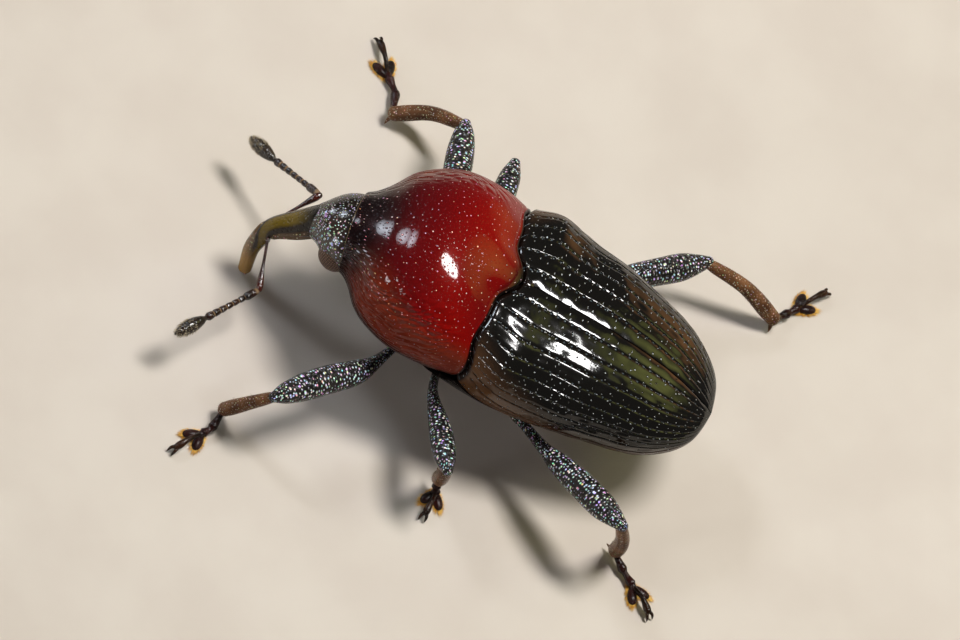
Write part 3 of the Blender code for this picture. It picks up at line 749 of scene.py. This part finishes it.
def hairs(name, roots, tips, places, width, material):
    """Many fine closed spikes as one mesh; places are their roots' shares round and along."""
    roots, tips = np.array(roots, float), np.array(tips, float)
    way = tips - roots
    way /= np.linalg.norm(way, axis=1, keepdims=True)
    upright = np.abs(way[:, 2:3]) >= 0.9
    helper = np.where(upright, np.array([[1.0, 0, 0]]), np.array([[0, 0, 1.0]]))
    side = np.cross(way, helper)
    side /= np.linalg.norm(side, axis=1, keepdims=True)
    other = np.cross(way, side)
    corners = []
    for k in range(HAIR_SIDES):
        a = k * 2 * math.pi / HAIR_SIDES
        corners.append(roots + (side * math.cos(a) + other * math.sin(a)) * width)
    points = np.stack(corners + [tips], axis=1).reshape(-1, 3)
    faces = []
    for i in range(len(roots)):
        a, b, c, d = range(4 * i, 4 * i + 4)
        faces += [(a, b, d), (b, c, d), (c, a, d), (c, b, a)]
    mesh = bpy.data.meshes.new(name)
    mesh.from_pydata([tuple(p) for p in points], [], faces)
    obj = bpy.data.objects.new(name, mesh)
    bpy.context.scene.collection.objects.link(obj)
    layer = mesh.uv_layers.new(name="OFBake")
    patch = np.array(((0, 0), (1, 0), (0.5, 1)) * 4) * 0.003
    uv = np.array(places)[:, None, :] * 0.997 + patch
    layer.data.foreach_set("uv", uv.ravel())
    finish(obj, [], material, 30)


def skin_of(knots, back, girth, share, angle, depth):
    """Places on a limb's skin, with the ways forward and outward there; depth sinks the roots."""
    line, _ = smooth_line(knots, STEPS + 1)
    forward, upper, side = frames(line, back)
    index = np.clip((share * STEPS).astype(int), 0, STEPS)
    out = upper[index] * np.cos(angle)[:, None] + side[index] * np.sin(angle)[:, None]
    return line[index] + out * (along(girth, share) * depth)[:, None], forward[index], out


def down_of(name, base, tip, materials):
    """Short pale down lying forward on a club."""
    chance = np.random.default_rng(7)
    share = 0.36 + 0.63 * chance.uniform(0, 1, DOWN) ** 0.8
    angle = chance.uniform(0, 2 * math.pi, DOWN)
    knots = (base, base.lerp(tip, 0.5), tip)
    roots, forward, out = skin_of(knots, UP, CLUB_GIRTH, share, angle, 0.97)
    tips = roots + (forward * 0.022 + out * 0.011)
    places = np.stack((angle / (2 * math.pi), share), axis=1)
    hairs(name, roots, tips, places, DOWN_WIDTH, materials["hair"])


def shin_hairs(name, knots, inner, chance, materials):
    """A comb at the shin's end and sparse hairs down its inner side."""
    share = np.concatenate((chance.uniform(0.3, 0.96, BRISTLES), np.full(COMB, 1.0)))
    sides = np.linspace(-2.8, 2.8, COMB)
    angle = np.concatenate((chance.uniform(-1.5, 1.5, BRISTLES), sides))
    roots, forward, out = skin_of(knots, inner, TIBIA_GIRTH, share, angle, 0.94)
    tips = roots + forward * 0.030 + out * 0.014
    places = np.stack((angle / (2 * math.pi) % 1, share), axis=1)
    hairs(name, roots, tips, places, BRISTLE_WIDTH, materials["hair"])


# Legs


def foot(where, ankle, joint, cleft, ahead, chance, materials):
    """Two joints, a neck and two padded lobes flat on the floor, each fringed with hairs."""
    first = limb("foot", (ankle - UP * 0.005, joint), JOINT_GIRTH, UP, 28, 30)
    ends = (joint.lerp(cleft, 0.05), joint.lerp(cleft, 0.8))
    second = limb("second", ends, JOINT_GIRTH, UP, 28, 26)
    neck = limb("neck", (joint, cleft + ahead * 0.02), NECK_GIRTH, UP, 20, 16)
    pieces = [first, second, neck]
    across = ahead.cross(UP)
    roots, tips, places = [], [], []
    for side in (1, -1):
        heading = math.atan2(ahead.y, ahead.x) - side * LOBE_SPREAD
        turn = Matrix.Rotation(heading, 3, "Z")
        middle = cleft + ahead * 0.05 + across * (side * 0.042)
        middle.z = LOBE_HEIGHT
        lobe = ball("lobe", LOBE_RADII, around=36, rows=22)
        points = points_of(lobe)
        points[:, 1] *= 1 + 0.18 * points[:, 0] / LOBE_RADII[0]
        points = points @ np.array(turn).T + np.array(middle)
        points[:, 2] = np.maximum(points[:, 2], SOLE)
        move_points(lobe, points)
        pieces.append(lobe)
        for _ in range(FRINGE):
            a = chance.uniform(-2.6, 2.6)
            edge = Vector((math.cos(a) * LOBE_RADII[0], math.sin(a) * LOBE_RADII[1], 0.0))
            low = chance.uniform(0.0035, 0.024)
            start = middle + turn @ (edge * 0.93)
            stop = middle + turn @ (edge * chance.uniform(1.3, 1.8))
            roots.append((start.x, start.y, low))
            tips.append((stop.x, stop.y, low * 0.8))
            places.append((0.25 + side * 0.22 * (a / math.pi) + 0.25 * (1 - side), low / 0.03))
    tarsus = join("foot_" + where, pieces)
    finish(mend(tarsus), ["tarsus_" + where], materials["foot"])
    hairs("fringe_" + where, roots, tips, places, FRINGE_WIDTH, materials["fringe"])


def claws(where, cleft, tip, across, materials):
    """The last joint, bowed up between the lobes, and its two hooked claws."""

    def claw_spot(share, height, aside=0.0):
        place = cleft.lerp(tip, share) + across * aside
        return Vector((place.x, place.y, height))

    claw_line = (claw_spot(0.05, 0.06), claw_spot(0.4, 0.098), claw_spot(0.8, 0.07))
    parts = [limb("claw", claw_line, CLAW_GIRTH, UP, 24, 44)]
    for side in (1, -1):
        bend = [claw_spot(0.76, 0.066, side * 0.008), claw_spot(0.90, 0.062, side * 0.024)]
        bend.append(claw_spot(0.98, 0.012, side * 0.028))
        parts.append(limb("hook", bend, HOOK_GIRTH, UP, 12, 24))
    hooks = join("hooks_" + where, parts)
    finish(mend(hooks), ["claws_" + where], materials["claw"])


def leg(where, materials):
    """Hip, thigh, shin with its spur, foot and claws, with their hairs."""
    (hip, knee, ankle), (joint, cleft, tip) = ([Vector(p) for p in half] for half in LEGS[where])
    pair = where.split("_")[0]
    thigh_bow, shin_bow = BOWS[where]
    out = (knee - hip).normalized()
    root = hip + out * 0.04
    stalk = root.lerp(knee, 0.28) + thigh_bow
    thigh_line = (root, stalk, root.lerp(knee, 0.62) + thigh_bow * 0.45, knee)
    shin_line = (knee - out * 0.03, knee.lerp(ankle, 0.5) + shin_bow, ankle + UP * 0.02)
    down = (ankle - knee).normalized()
    inner = (-out - down * down.dot(-out)).normalized()
    ahead = Vector((tip.x - joint.x, tip.y - joint.y, 0.0)).normalized()

    radii, inwards = HIPS[pair]
    centre = hip + Vector((-math.copysign(inwards, hip.x), 0.0, 0.03))
    coxa = ball("hip_" + where, radii, centre, around=40, rows=28)
    stretch_map(coxa, 0.9, 0.45)
    finish(mend(coxa), ["coxa_" + where], materials["leg"])

    def thigh_form(share, angle, radius):
        under = np.clip(-np.cos(angle), 0, 1)
        return radius * (1 - 0.10 * under**2 * smooth_step(0.7, 0.95, share))

    thigh = limb("thigh_" + where, thigh_line, FEMORA[pair], UP, 56, 110, 0.97, thigh_form)
    ring = limb("ring", (hip - out * 0.02, root + out * 0.05), RING_GIRTH, UP, 24, 16)
    femur = join("thigh_" + where, [thigh, ring])
    finish(mend(femur), ["femur_" + where], materials["leg"])

    def shin_form(share, angle, radius):
        ridges = 0.028 * np.cos(5 * angle) * smooth_step(0.1, 0.3, share)
        return radius * (1 + ridges + 0.05 * hump(share, 0.97, 0.03))

    shin = limb("shin_" + where, shin_line, TIBIA_GIRTH, -inner, 50, 90, 0.92, shin_form)
    spur_line = [ankle + UP * 0.02 + inner * 0.02, ankle + down * 0.03 + inner * 0.075]
    spur_line.append(ankle + down * 0.035 + inner * 0.10)
    spur = limb("spur", spur_line, SPUR_GIRTH, down, 14, 20)
    tibia = join("shin_" + where, [shin, spur])
    finish(mend(tibia), ["tibia_" + where], materials["shin"])

    chance = np.random.default_rng(11)
    foot(where, ankle, joint, cleft, ahead, chance, materials)
    claws(where, cleft, tip, ahead.cross(UP), materials)
    shin_hairs("bristle_" + where, shin_line, inner, chance, materials)


# Materials


# Sizes of noise, in repeats a metre
FLOOR_MOTTLE = 900.0  # 1.1 mm
SHELL_CLOUD = 1500.0  # 0.7 mm
PLATE_CLOUD = 5000.0  # 0.2 mm
HORN_CLOUD = 9000.0  # 0.11 mm
SHELL_RIPPLE = 14000.0  # 0.07 mm
SPARK_CHANCE = 26000.0  # 0.04 mm, about from pit to pit
HAIR_STREAK = 30000.0  # 0.03 mm
SPARK_TINT = 42000.0  # 0.024 mm
SKIN_GRAIN = 60000.0  # 0.017 mm
HORN_GRAIN = 70000.0  # 0.014 mm


def linear(code):
    """An sRGB hex colour as the linear values that a shader takes."""
    parts = [int(code[i : i + 2], 16) / 255 for i in (0, 2, 4)]
    return (*[p / 12.92 if p <= 0.04045 else ((p + 0.055) / 1.055) ** 2.4 for p in parts], 1.0)


def add(tree, kind, inputs=None, output=0, **settings):
    """Adds a node with its settings, links or sets its inputs, and gives one of its outputs."""
    node = tree.nodes.new(kind)
    for name, value in settings.items():
        setattr(node, name, value)
    for key, value in (inputs or {}).items():
        if isinstance(value, bpy.types.NodeSocket):
            tree.links.new(value, node.inputs[key])
        else:
            node.inputs[key].default_value = value
    return node.outputs[output]


def new_finish(name, **values):
    """A new material with its shader's plain values, and its nodes and shader."""
    material = bpy.data.materials.new(name)
    material.use_nodes = True
    shader = material.node_tree.nodes["Principled BSDF"]
    for key, value in values.items():
        shader.inputs[key.replace("_", " ")].default_value = value
    return material, material.node_tree, shader


def coloured(tree, shader, ground, *layers):
    """Lays colours over a ground: each row's value, where it begins and is full, and colour."""
    tone = linear(ground)
    for value, low, high, shade in layers:
        shade = linear(shade) if isinstance(shade, str) else shade
        bounds = {"Value": value, "From Min": low, "From Max": high}
        share = add(tree, "ShaderNodeMapRange", bounds, interpolation_type="SMOOTHSTEP")
        tone = add(tree, "ShaderNodeMix", {0: share, 6: tone, 7: shade}, 2, data_type="RGBA")
    tree.links.new(tone, shader.inputs["Base Color"])


def carved(tree, shader, *layers):
    """Carves heights from 0 to 1 into a surface, each with its depth in millimetres."""
    normal = None
    for height, depth in layers:
        inputs = {"Height": height, "Distance": depth * MM, "Strength": 1.0}
        if normal:
            inputs["Normal"] = normal
        normal = add(tree, "ShaderNodeBump", inputs)
    tree.links.new(normal, shader.inputs["Normal"])
    tree.links.new(normal, shader.inputs["Coat Normal"])


def pits(tree, where, cell, radius, chance=0.8):
    """Round pits, one a cell of this size across and along: 0 in a pit's middle, 1 outside it."""
    spread = (1 / cell[0], 1 / cell[1], 1)
    cells = add(tree, "ShaderNodeMapping", {"Vector": where, "Scale": spread})
    inputs = {"Vector": cells, "Scale": 1.0, "Randomness": chance}
    away = add(tree, "ShaderNodeTexVoronoi", inputs, "Distance", voronoi_dimensions="2D")
    bounds = {"Value": away, "From Min": 0.0, "From Max": radius}
    return add(tree, "ShaderNodeMapRange", bounds, interpolation_type="SMOOTHSTEP")


def sparks(tree, body, hollow):
    """The pits' values for the painted glints, with some pits weak or lost, as light finds some
    and not others, and with more and larger glints where the glint mark is.
    """
    cloud = add(tree, "ShaderNodeTexNoise", {"Vector": body, "Scale": SPARK_CHANCE, "Detail": 1.0})
    glint = add(tree, "ShaderNodeAttribute", None, "Fac", attribute_name="glint")
    value = add(tree, "ShaderNodeMath", {0: cloud, 1: 1.8, 2: hollow}, operation="MULTIPLY_ADD")
    return add(tree, "ShaderNodeMath", {0: glint, 1: -0.46, 2: value}, operation="MULTIPLY_ADD")


def tinted(tree, body, code):
    """The painted glints' colour, drawn a little to green, violet or gold from one to the next."""
    inputs = {"Vector": body, "Scale": SPARK_TINT, "Detail": 0.0}
    tints = add(tree, "ShaderNodeTexNoise", inputs, "Color")
    strong, weak = (tuple(part * share for part in linear(code)[:3]) for share in (2.0, 0.1))
    inputs = {0: tints, 1: strong, 2: weak}
    return add(tree, "ShaderNodeVectorMath", inputs, operation="MULTIPLY_ADD")


def red_chitin():
    """Smooth varnished cuticle: clear gloss over a deep red that lies under the surface.

    Small pits on the back hold a painted pale speck that stands for a glint, larger in a patch on
    each upper flank near the front. The flanks are painted orange brown as a reflection of warm
    surroundings; they are duller and carved with short ridges, and the collar and the rims are
    black.
    """
    values = {"Roughness": 0.28, "Specular_IOR_Level": 0.14, "Specular_Tint": linear("B8483C")}
    material, tree, shader = new_finish("glossy red chitin", Coat_Roughness=0.06, **values)
    surface = add(tree, "ShaderNodeUVMap", uv_map="Surface")
    body = add(tree, "ShaderNodeTexCoord", None, "Object")
    share = add(tree, "ShaderNodeAttribute", None, "Fac", attribute_name="share")
    flank = add(tree, "ShaderNodeAttribute", None, "Fac", attribute_name="flank")
    cloud = add(tree, "ShaderNodeTexNoise", {"Vector": body, "Scale": SHELL_CLOUD, "Detail": 2.0})
    front = add(tree, "ShaderNodeMath", {0: flank, 1: 0.24, 2: share}, operation="MULTIPLY_ADD")
    middle = add(tree, "ShaderNodeMath", {0: flank, 1: -0.45, 2: share}, operation="MULTIPLY_ADD")
    warm_reflection = add(tree, "ShaderNodeMath", {0: share, 1: -0.45, 2: flank}, operation="MULTIPLY_ADD")
    big = pits(tree, surface, (0.062, 0.062), 0.155)
    fine = pits(tree, surface, (0.033, 0.033), 0.16)
    # Both flanks' ridges run down and back, so their pattern is folded at the back's middle
    inputs = {0: surface, 1: (-PRONOTUM_GIRTH / 2, 0, 0)}
    folded = add(tree, "ShaderNodeVectorMath", inputs, operation="ADD")
    folded = add(tree, "ShaderNodeVectorMath", {0: folded}, operation="ABSOLUTE")
    inputs = {"Vector": folded, "Scale": 4.0, "Detail": 0.0}
    wave = add(tree, "ShaderNodeTexNoise", inputs, "Color")
    inputs = {0: wave, 1: (0.12, 0.12, 0.0), 2: folded}
    folded = add(tree, "ShaderNodeVectorMath", inputs, operation="MULTIPLY_ADD")
    inputs = {"Vector": folded, "Rotation": (0, 0, math.radians(-29))}
    turned = add(tree, "ShaderNodeMapping", inputs)
    # 0.05 mm apart and 0.1 mm long
    stretched = add(tree, "ShaderNodeMapping", {"Vector": turned, "Scale": (19, 10, 1)})
    inputs = {"Vector": stretched, "Scale": 1.0, "Smoothness": 0.2}
    cells = {"voronoi_dimensions": "2D", "feature": "SMOOTH_F1"}
    ridge = add(tree, "ShaderNodeTexVoronoi", inputs, "Distance", **cells)
    bounds = {"Value": flank, "From Min": 0.14, "From Max": 0.40, "To Max": -1.0}
    low = add(tree, "ShaderNodeMapRange", bounds, interpolation_type="SMOOTHSTEP")
    bounds = {"Value": share, "From Min": 0.97, "From Max": 0.6}
    fore = add(tree, "ShaderNodeMapRange", bounds, interpolation_type="SMOOTHSTEP")
    ridge = add(tree, "ShaderNodeMath", {0: ridge, 1: low}, operation="MULTIPLY")
    ridge = add(tree, "ShaderNodeMath", {0: ridge, 1: fore}, operation="MULTIPLY")
    coloured(
        tree,
        shader,
        "4C0408",
        (share, 0.25, 0.80, "780402"),
        (cloud, 0.40, 0.80, "580406"),
        # Painted reflection of warm surroundings: orange brown on the flanks, most towards the
        # front, here and in the next row
        (warm_reflection, 0.04, 0.26, "6A2410"),
        (flank, 0.30, 0.44, "702818"),
        (front, 0.36, 0.12, "0C0405"),
        (middle, 0.90, 0.985, "180505"),
        (share, 0.972, 0.985, "080404"),
        (flank, 0.50, 0.62, "180A07"),
        (share, 0.004, 0.001, "766040"),
        # Painted glints: a pale tinted speck in many of the larger pits
        (sparks(tree, body, big), 1.30, 0.85, tinted(tree, body, "D8A4A4")),
    )
    carved(tree, shader, (ridge, 0.034), (fine, 0.0012), (big, 0.0018))
    bounds = {"Value": flank, "From Min": 0.22, "From Max": 0.42, "To Min": 0.50, "To Max": 0.07}
    tree.links.new(add(tree, "ShaderNodeMapRange", bounds), shader.inputs["Coat Weight"])
    return material


def black_chitin():
    """Polished black cuticle, brown along its sides, with a row of long pits in each groove.

    Its gloss is clear on top and weak below. The brown along its sides is partly the margins' own
    reddish brown and partly painted reflection of warm surroundings, most at the shoulders. Each
    pit in the grooves is painted a pale grey as a glint, and painted pale specks in the pinpricks
    between the grooves stand for glints.
    """
    material, tree, shader = new_finish("polished black chitin", Roughness=0.10, IOR=1.52)
    surface = add(tree, "ShaderNodeUVMap", uv_map="Surface")
    body = add(tree, "ShaderNodeTexCoord", None, "Object")
    side = add(tree, "ShaderNodeAttribute", None, "Fac", attribute_name="side")
    share = add(tree, "ShaderNodeAttribute", None, "Fac", attribute_name="share")
    # Where the painted reflection is strongest: near the outer edge, towards the shoulders
    brown = add(tree, "ShaderNodeMath", {0: share, 1: -0.9, 2: side}, operation="MULTIPLY_ADD")
    # One pit every 0.07 mm of a groove; the map counts grooves across and millimetres along
    cells = add(tree, "ShaderNodeMapping", {"Vector": surface, "Scale": (1.0, 14.0, 1)})
    whole = add(tree, "ShaderNodeVectorMath", {0: cells, 1: (0.5, 0.5, 0.5)}, operation="ADD")
    whole = add(tree, "ShaderNodeVectorMath", {0: whole}, operation="FLOOR")
    part = add(tree, "ShaderNodeVectorMath", {0: cells, 1: whole}, operation="SUBTRACT")
    inputs = {0: part, 1: (STRIA_SPACING, 0.034, 0.0)}
    part = add(tree, "ShaderNodeVectorMath", inputs, operation="MULTIPLY")
    away = add(tree, "ShaderNodeVectorMath", {0: part}, "Value", operation="LENGTH")
    bounds = {"Value": away, "From Min": 0.0, "From Max": 0.013}
    row = add(tree, "ShaderNodeMapRange", bounds, interpolation_type="SMOOTHSTEP")
    fine = pits(tree, surface, (0.075 / STRIA_SPACING, 0.075), 0.13, 1.0)
    inputs = {"Vector": body, "Scale": SHELL_RIPPLE, "Detail": 2.0}
    ripple = add(tree, "ShaderNodeTexNoise", inputs)
    coloured(
        tree,
        shader,
        "0B0907",
        # Brown along the margins: partly their own reddish brown, partly painted reflection; the
        # next row paints a reflection of warm surroundings at the shoulders
        (side, 0.76, 0.97, "3A1E14"),
        (brown, 0.28, 0.75, "523620"),
        (share, 0.02, 0.0, "160D0A"),
        # Painted glint: each pit in the grooves painted a pale bluish grey
        (row, 0.55, 0.10, "4A5358"),
        # Painted glints: pale specks in many of the pinpricks between the grooves
        (sparks(tree, body, fine), 1.35, 0.85, "B0B8BC"),
    )
    carved(tree, shader, (ripple, 0.0012), (fine, 0.0040), (row, 0.0100))
    bounds = {"Value": side, "From Min": 0.60, "From Max": 0.95, "To Min": 0.5, "To Max": 0.08}
    tree.links.new(add(tree, "ShaderNodeMapRange", bounds), shader.inputs["Specular IOR Level"])
    return material


def pitted_chitin(name, dark, light, painted_glint, spacing, radius, depth, roughness, shine):
    """Dark cuticle closely set with pits, many holding a painted pale speck that stands for a
    glint:
    head, belly and legs. Where the glint mark is, the specks grow and a warmer painted sheen lies.
    """
    values = {"Roughness": roughness, "Specular_IOR_Level": shine}
    material, tree, shader = new_finish(name, **values)
    surface = add(tree, "ShaderNodeUVMap", uv_map="Surface")
    body = add(tree, "ShaderNodeTexCoord", None, "Object")
    front = add(tree, "ShaderNodeAttribute", None, "Fac", attribute_name="glint")
    cloud = add(tree, "ShaderNodeTexNoise", {"Vector": body, "Scale": PLATE_CLOUD, "Detail": 3.0})
    grain = add(tree, "ShaderNodeTexNoise", {"Vector": body, "Scale": SKIN_GRAIN, "Detail": 2.0})
    hollow = pits(tree, surface, (spacing, spacing), radius)
    coloured(
        tree,
        shader,
        dark,
        (cloud, 0.35, 0.75, light),
        # Painted sheen: lighter and warmer where the glint mark is
        (front, 0.3, 1.0, "2E221C"),
        # Painted glints: a pale tinted speck in many of the pits
        (sparks(tree, body, hollow), 1.30, 0.85, tinted(tree, body, painted_glint)),
    )
    carved(tree, shader, (grain, 0.0015), (hollow, depth))
    return material


def snout_chitin():
    """Cuticle wrinkled lengthwise, black at the root, olive brown on and clear horn at the tip.
    Its upper side is darker, with a painted reflection in olive gold along the top, and many pits
    hold painted pale specks that stand for glints.
    """
    values = {"Roughness": 0.12, "Specular_IOR_Level": 0.35}
    material, tree, shader = new_finish("wrinkled snout chitin", **values)
    surface = add(tree, "ShaderNodeUVMap", uv_map="Surface")
    body = add(tree, "ShaderNodeTexCoord", None, "Object")
    share = add(tree, "ShaderNodeAttribute", None, "Fac", attribute_name="share")
    height = add(tree, "ShaderNodeAttribute", None, "Fac", attribute_name="round")
    cloud = add(tree, "ShaderNodeTexNoise", {"Vector": body, "Scale": HORN_CLOUD, "Detail": 2.0})
    # Wrinkles 0.025 mm apart and 0.1 mm long
    stretched = add(tree, "ShaderNodeMapping", {"Vector": surface, "Scale": (40, 9, 1)})
    inputs = {"Vector": stretched, "Scale": 1.0, "Detail": 2.0, "Distortion": 0.5}
    wrinkle = add(tree, "ShaderNodeTexNoise", inputs)
    hollow = pits(tree, surface, (0.033, 0.045), 0.32)
    coloured(
        tree,
        shader,
        "0A0806",
        (share, 0.16, 0.40, "64503C"),
        (cloud, 0.42, 0.70, "5E4630"),
        # Painted glints: a pale tinted speck in many pits
        (sparks(tree, body, hollow), 1.50, 0.90, tinted(tree, body, "C8B088")),
        (height, 0.36, 0.60, "1C120A"),
        # Painted reflection: olive gold along the top
        (height, 0.78, 0.95, "5E4C12"),
        (share, 0.34, 0.14, "080606"),
        (share, 0.70, 0.92, "9A7640"),
    )
    carved(tree, shader, (wrinkle, 0.004), (hollow, 0.005))
    return material


def eye_lens():
    """Packed round facets 0.02 mm across, brown and dull, darker in their middles."""
    values = {"Roughness": 0.36, "Specular_IOR_Level": 0.35}
    material, tree, shader = new_finish("facetted eye lens", **values)
    surface = add(tree, "ShaderNodeUVMap", uv_map="Surface")
    dome = pits(tree, surface, (0.021, 0.021), 0.62, 0.2)
    coloured(tree, shader, "8C6A54", (dome, 0.0, 1.0, "34221A"))
    carved(tree, shader, (dome, -0.007))
    return material


def horn(name, dark, light, roughness, shine, ring=None):
    """Thin see-through horn, as on feelers, feet and claws; beads have a pale ring painted at
    their start as a highlight.
    """
    values = {"Subsurface_Weight": 0.1, "Subsurface_Radius": (1.0, 0.4, 0.2)}
    values |= {"Subsurface_Scale": 0.03 * MM, "Specular_IOR_Level": shine}
    material, tree, shader = new_finish(name, Roughness=roughness, **values)
    surface = add(tree, "ShaderNodeUVMap", uv_map="Surface")
    body = add(tree, "ShaderNodeTexCoord", None, "Object")
    cloud = add(tree, "ShaderNodeTexNoise", {"Vector": body, "Scale": HORN_CLOUD, "Detail": 2.0})
    grain = add(tree, "ShaderNodeTexNoise", {"Vector": body, "Scale": HORN_GRAIN, "Detail": 2.0})
    hollow = pits(tree, surface, (0.025, 0.025), 0.4)
    layers = [(cloud, 0.3, 0.7, light)]
    # A painted highlight: a pale ring at the start of each bead
    if ring:
        share = add(tree, "ShaderNodeAttribute", None, "Fac", attribute_name="share")
        layers.append((share, 0.32, 0.12, ring))
    coloured(tree, shader, dark, *layers)
    carved(tree, shader, (grain, 0.0015), (hollow, 0.0025))
    return material


def hair(name, dark, light):
    """Fine hairs, slightly silky, some paler than others."""
    material, tree, shader = new_finish(name, Roughness=0.45)
    body = add(tree, "ShaderNodeTexCoord", None, "Object")
    cloud = add(tree, "ShaderNodeTexNoise", {"Vector": body, "Scale": HAIR_STREAK, "Detail": 1.0})
    coloured(tree, shader, dark, (cloud, 0.3, 0.7, light))
    return material


def floor_card():
    """Matt pale card, faintly mottled."""
    material, tree, shader = new_finish("matt pale card", Roughness=0.85)
    body = add(tree, "ShaderNodeTexCoord", None, "Object")
    grain = add(tree, "ShaderNodeTexNoise", {"Vector": body, "Scale": FLOOR_MOTTLE, "Detail": 3.0})
    coloured(tree, shader, "C2B7AC", (grain, 0.3, 0.7, "C8BEB3"))
    return material


# Key, name, ground, clouds, the painted glints' colour in the pits, then pit spacing, radius as a
# share of it and depth, roughness and shine
PITTED = (
    ("head", "glossy head chitin", "0C0806", "1A100A", "D4DCE4", 0.036, 0.34, 0.009, 0.13, 0.8),
    ("plates", "pitted belly chitin", "0B0908", "1A110D", "4A4440", 0.06, 0.3, 0.009, 0.22, 0.25),
    ("leg", "pitted leg chitin", "161414", "242020", "D4DAE2", 0.027, 0.66, 0.008, 0.15, 0.3),
    # The shins' brown is partly their own tone and partly painted reflection of warm surroundings
    ("shin", "brown leg chitin with painted reflection", "4A3020", "7A5438", "B4A890", 0.030, 0.40, 0.006, 0.3, 0.10),
)
# Key, name, ground, clouds, roughness, shine and the colour of a painted highlight ring
HORN = (
    ("amber", "red brown horn", "240A06", "48170C", 0.14, 0.7),
    ("bead", "dark brown horn", "140B08", "2E160E", 0.16, 0.7, "7A6248"),
    ("club", "grey brown horn", "1A1410", "2E241C", 0.20, 0.6),
    ("foot", "dark red horn", "140706", "2E0F0C", 0.20, 0.25),
    ("claw", "dark amber horn", "120905", "30190B", 0.24, 0.2),
)


def make_materials():
    """All the beetle's finishes, by short names."""
    made = {"red": red_chitin(), "black": black_chitin()}
    made |= {key: pitted_chitin(*row) for key, *row in PITTED}
    made |= {"snout": snout_chitin(), "eye": eye_lens()}
    made |= {key: horn(*row) for key, *row in HORN}
    made["fringe"] = hair("golden hair", "C88A24", "F0C868")
    made["hair"] = hair("pale brown hair", "6A5A44", "C8B898")
    return made


# Studio


def floor():
    """A plain pale card, wide enough to fill every view."""
    deselect()
    bpy.ops.mesh.primitive_plane_add(size=0.8)
    plane = bpy.context.object
    plane.name = "floor"
    plane.data.materials.append(floor_card())


# Name, way from the beetle, width and length in millimetres, strength, colour, the way that its
# length runs, and the angle in degrees of a grid that fades it towards its edge, or 0
LAMPS = (
    ("key", (-0.20, 0.21, 0.95), 12, 29, 54.0, (1.0, 0.99, 0.97), (0.27, 0.96, 0), 0),
    ("front", (-0.32, -0.66, 0.68), 15, 18, 28.0, (0.80, 0.89, 1.0), (0, 1, 0), 19),
    ("low_front", (-0.38, -0.88, 0.27), 14, 14, 24.0, (0.80, 0.89, 1.0), (0, 1, 0), 17),
    ("side", (0.72, -0.66, 0.22), 14, 14, 32.0, (0.96, 0.98, 1.0), (0, 1, 0), 17),
    ("rear", (-0.42, 0.64, 0.64), 54, 40, 2.1, (0.88, 0.92, 0.24), (1, 0, 0), 46),
    ("warm", (-0.82, 0.54, 0.18), 44, 36, 1.6, (1.0, 0.45, 0.14), (0, 1, 0), 40),
)
WORLD_COLOUR = (0.95, 0.93, 0.90, 1)
WORLD_STRENGTH = 0.10


def lamp(name, way, wide, long, strength, colour, heading, grid):
    """An oval soft box turned to the beetle, whose glow is as strong whatever its size."""
    data = bpy.data.lights.new(name, "AREA")
    data.shape = "ELLIPSE"
    data.size = wide * MM
    data.size_y = long * MM
    data.energy = strength * math.pi**2 / 4 * data.size * data.size_y
    if grid:
        data.spread = math.radians(grid)
        data.energy *= 1 - data.spread / 2 / math.tan(data.spread / 2)
    data.color = colour
    box = bpy.data.objects.new(name, data)
    way = Vector(way).normalized()
    box.location = (LAMP_AIM + way * LAMP_DISTANCE) * MM
    across = Vector(heading).cross(way).normalized()
    box.rotation_mode = "QUATERNION"
    box.rotation_quaternion = Matrix((across, way.cross(across), way)).transposed().to_quaternion()
    bpy.context.scene.collection.objects.link(box)


def lights():
    """The lamps, in a room that is hardly lit."""
    world = bpy.data.worlds.new("studio")
    bpy.context.scene.world = world
    world.use_nodes = True
    world.node_tree.nodes["Background"].inputs["Color"].default_value = WORLD_COLOUR
    world.node_tree.nodes["Background"].inputs["Strength"].default_value = WORLD_STRENGTH
    for row in LAMPS:
        lamp(*row)
    bpy.context.scene.view_settings.view_transform = "Standard"


def camera():
    """A long lens from the photograph's side."""
    data = bpy.data.cameras.new("camera")
    data.sensor_width = SENSOR
    data.lens = SENSOR * VIEW_DISTANCE / VIEW_WIDTH
    data.clip_start, data.clip_end = 0.01, 10.0
    eye_point = bpy.data.objects.new("camera", data)
    bpy.context.scene.collection.objects.link(eye_point)
    turn = Matrix((VIEW_RIGHT, VIEW_UP, VIEW_BACK)).transposed()
    eye_point.rotation_mode = "QUATERNION"
    eye_point.rotation_quaternion = turn.to_quaternion()
    eye_point.location = (VIEW_CENTRE + VIEW_BACK * (VIEW_DISTANCE + BODY_DEPTH)) * MM
    bpy.context.scene.camera = eye_point


def beetle(materials):
    """All its pieces, body first."""
    pronotum(materials)
    elytron("wing_cover_left", "elytron_left", 1, materials)
    elytron("wing_cover_right", "elytron_right", -1, materials)
    scutellum(materials)
    under_body("chest_plates", "thorax", 0.0, THORAX_END, 40, (), materials)
    start = THORAX_END + PLATE_GAP
    under_body("belly_plates", "abdomen", start, ABDOMEN_END, 140, STERNITES, materials)
    head(materials)
    rostrum(materials)
    for where, hand in (("left", 1), ("right", -1)):
        eye(where, hand, materials)
        feeler(where, hand, materials)
    for where in LEGS:
        leg(where, materials)


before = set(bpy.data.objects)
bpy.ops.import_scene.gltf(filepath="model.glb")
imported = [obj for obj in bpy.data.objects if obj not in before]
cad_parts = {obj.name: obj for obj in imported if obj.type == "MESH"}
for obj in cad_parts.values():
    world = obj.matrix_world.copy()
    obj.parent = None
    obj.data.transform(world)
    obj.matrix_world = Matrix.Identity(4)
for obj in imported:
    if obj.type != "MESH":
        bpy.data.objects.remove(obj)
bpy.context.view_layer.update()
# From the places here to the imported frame's, read off one node that both share
low, high = (Vector(corner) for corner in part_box("scutellum"))
SHIFT = (low + high) / 2 / MM - stand(SCUTELLUM)
beetle(make_materials())
floor()
lights()
camera()
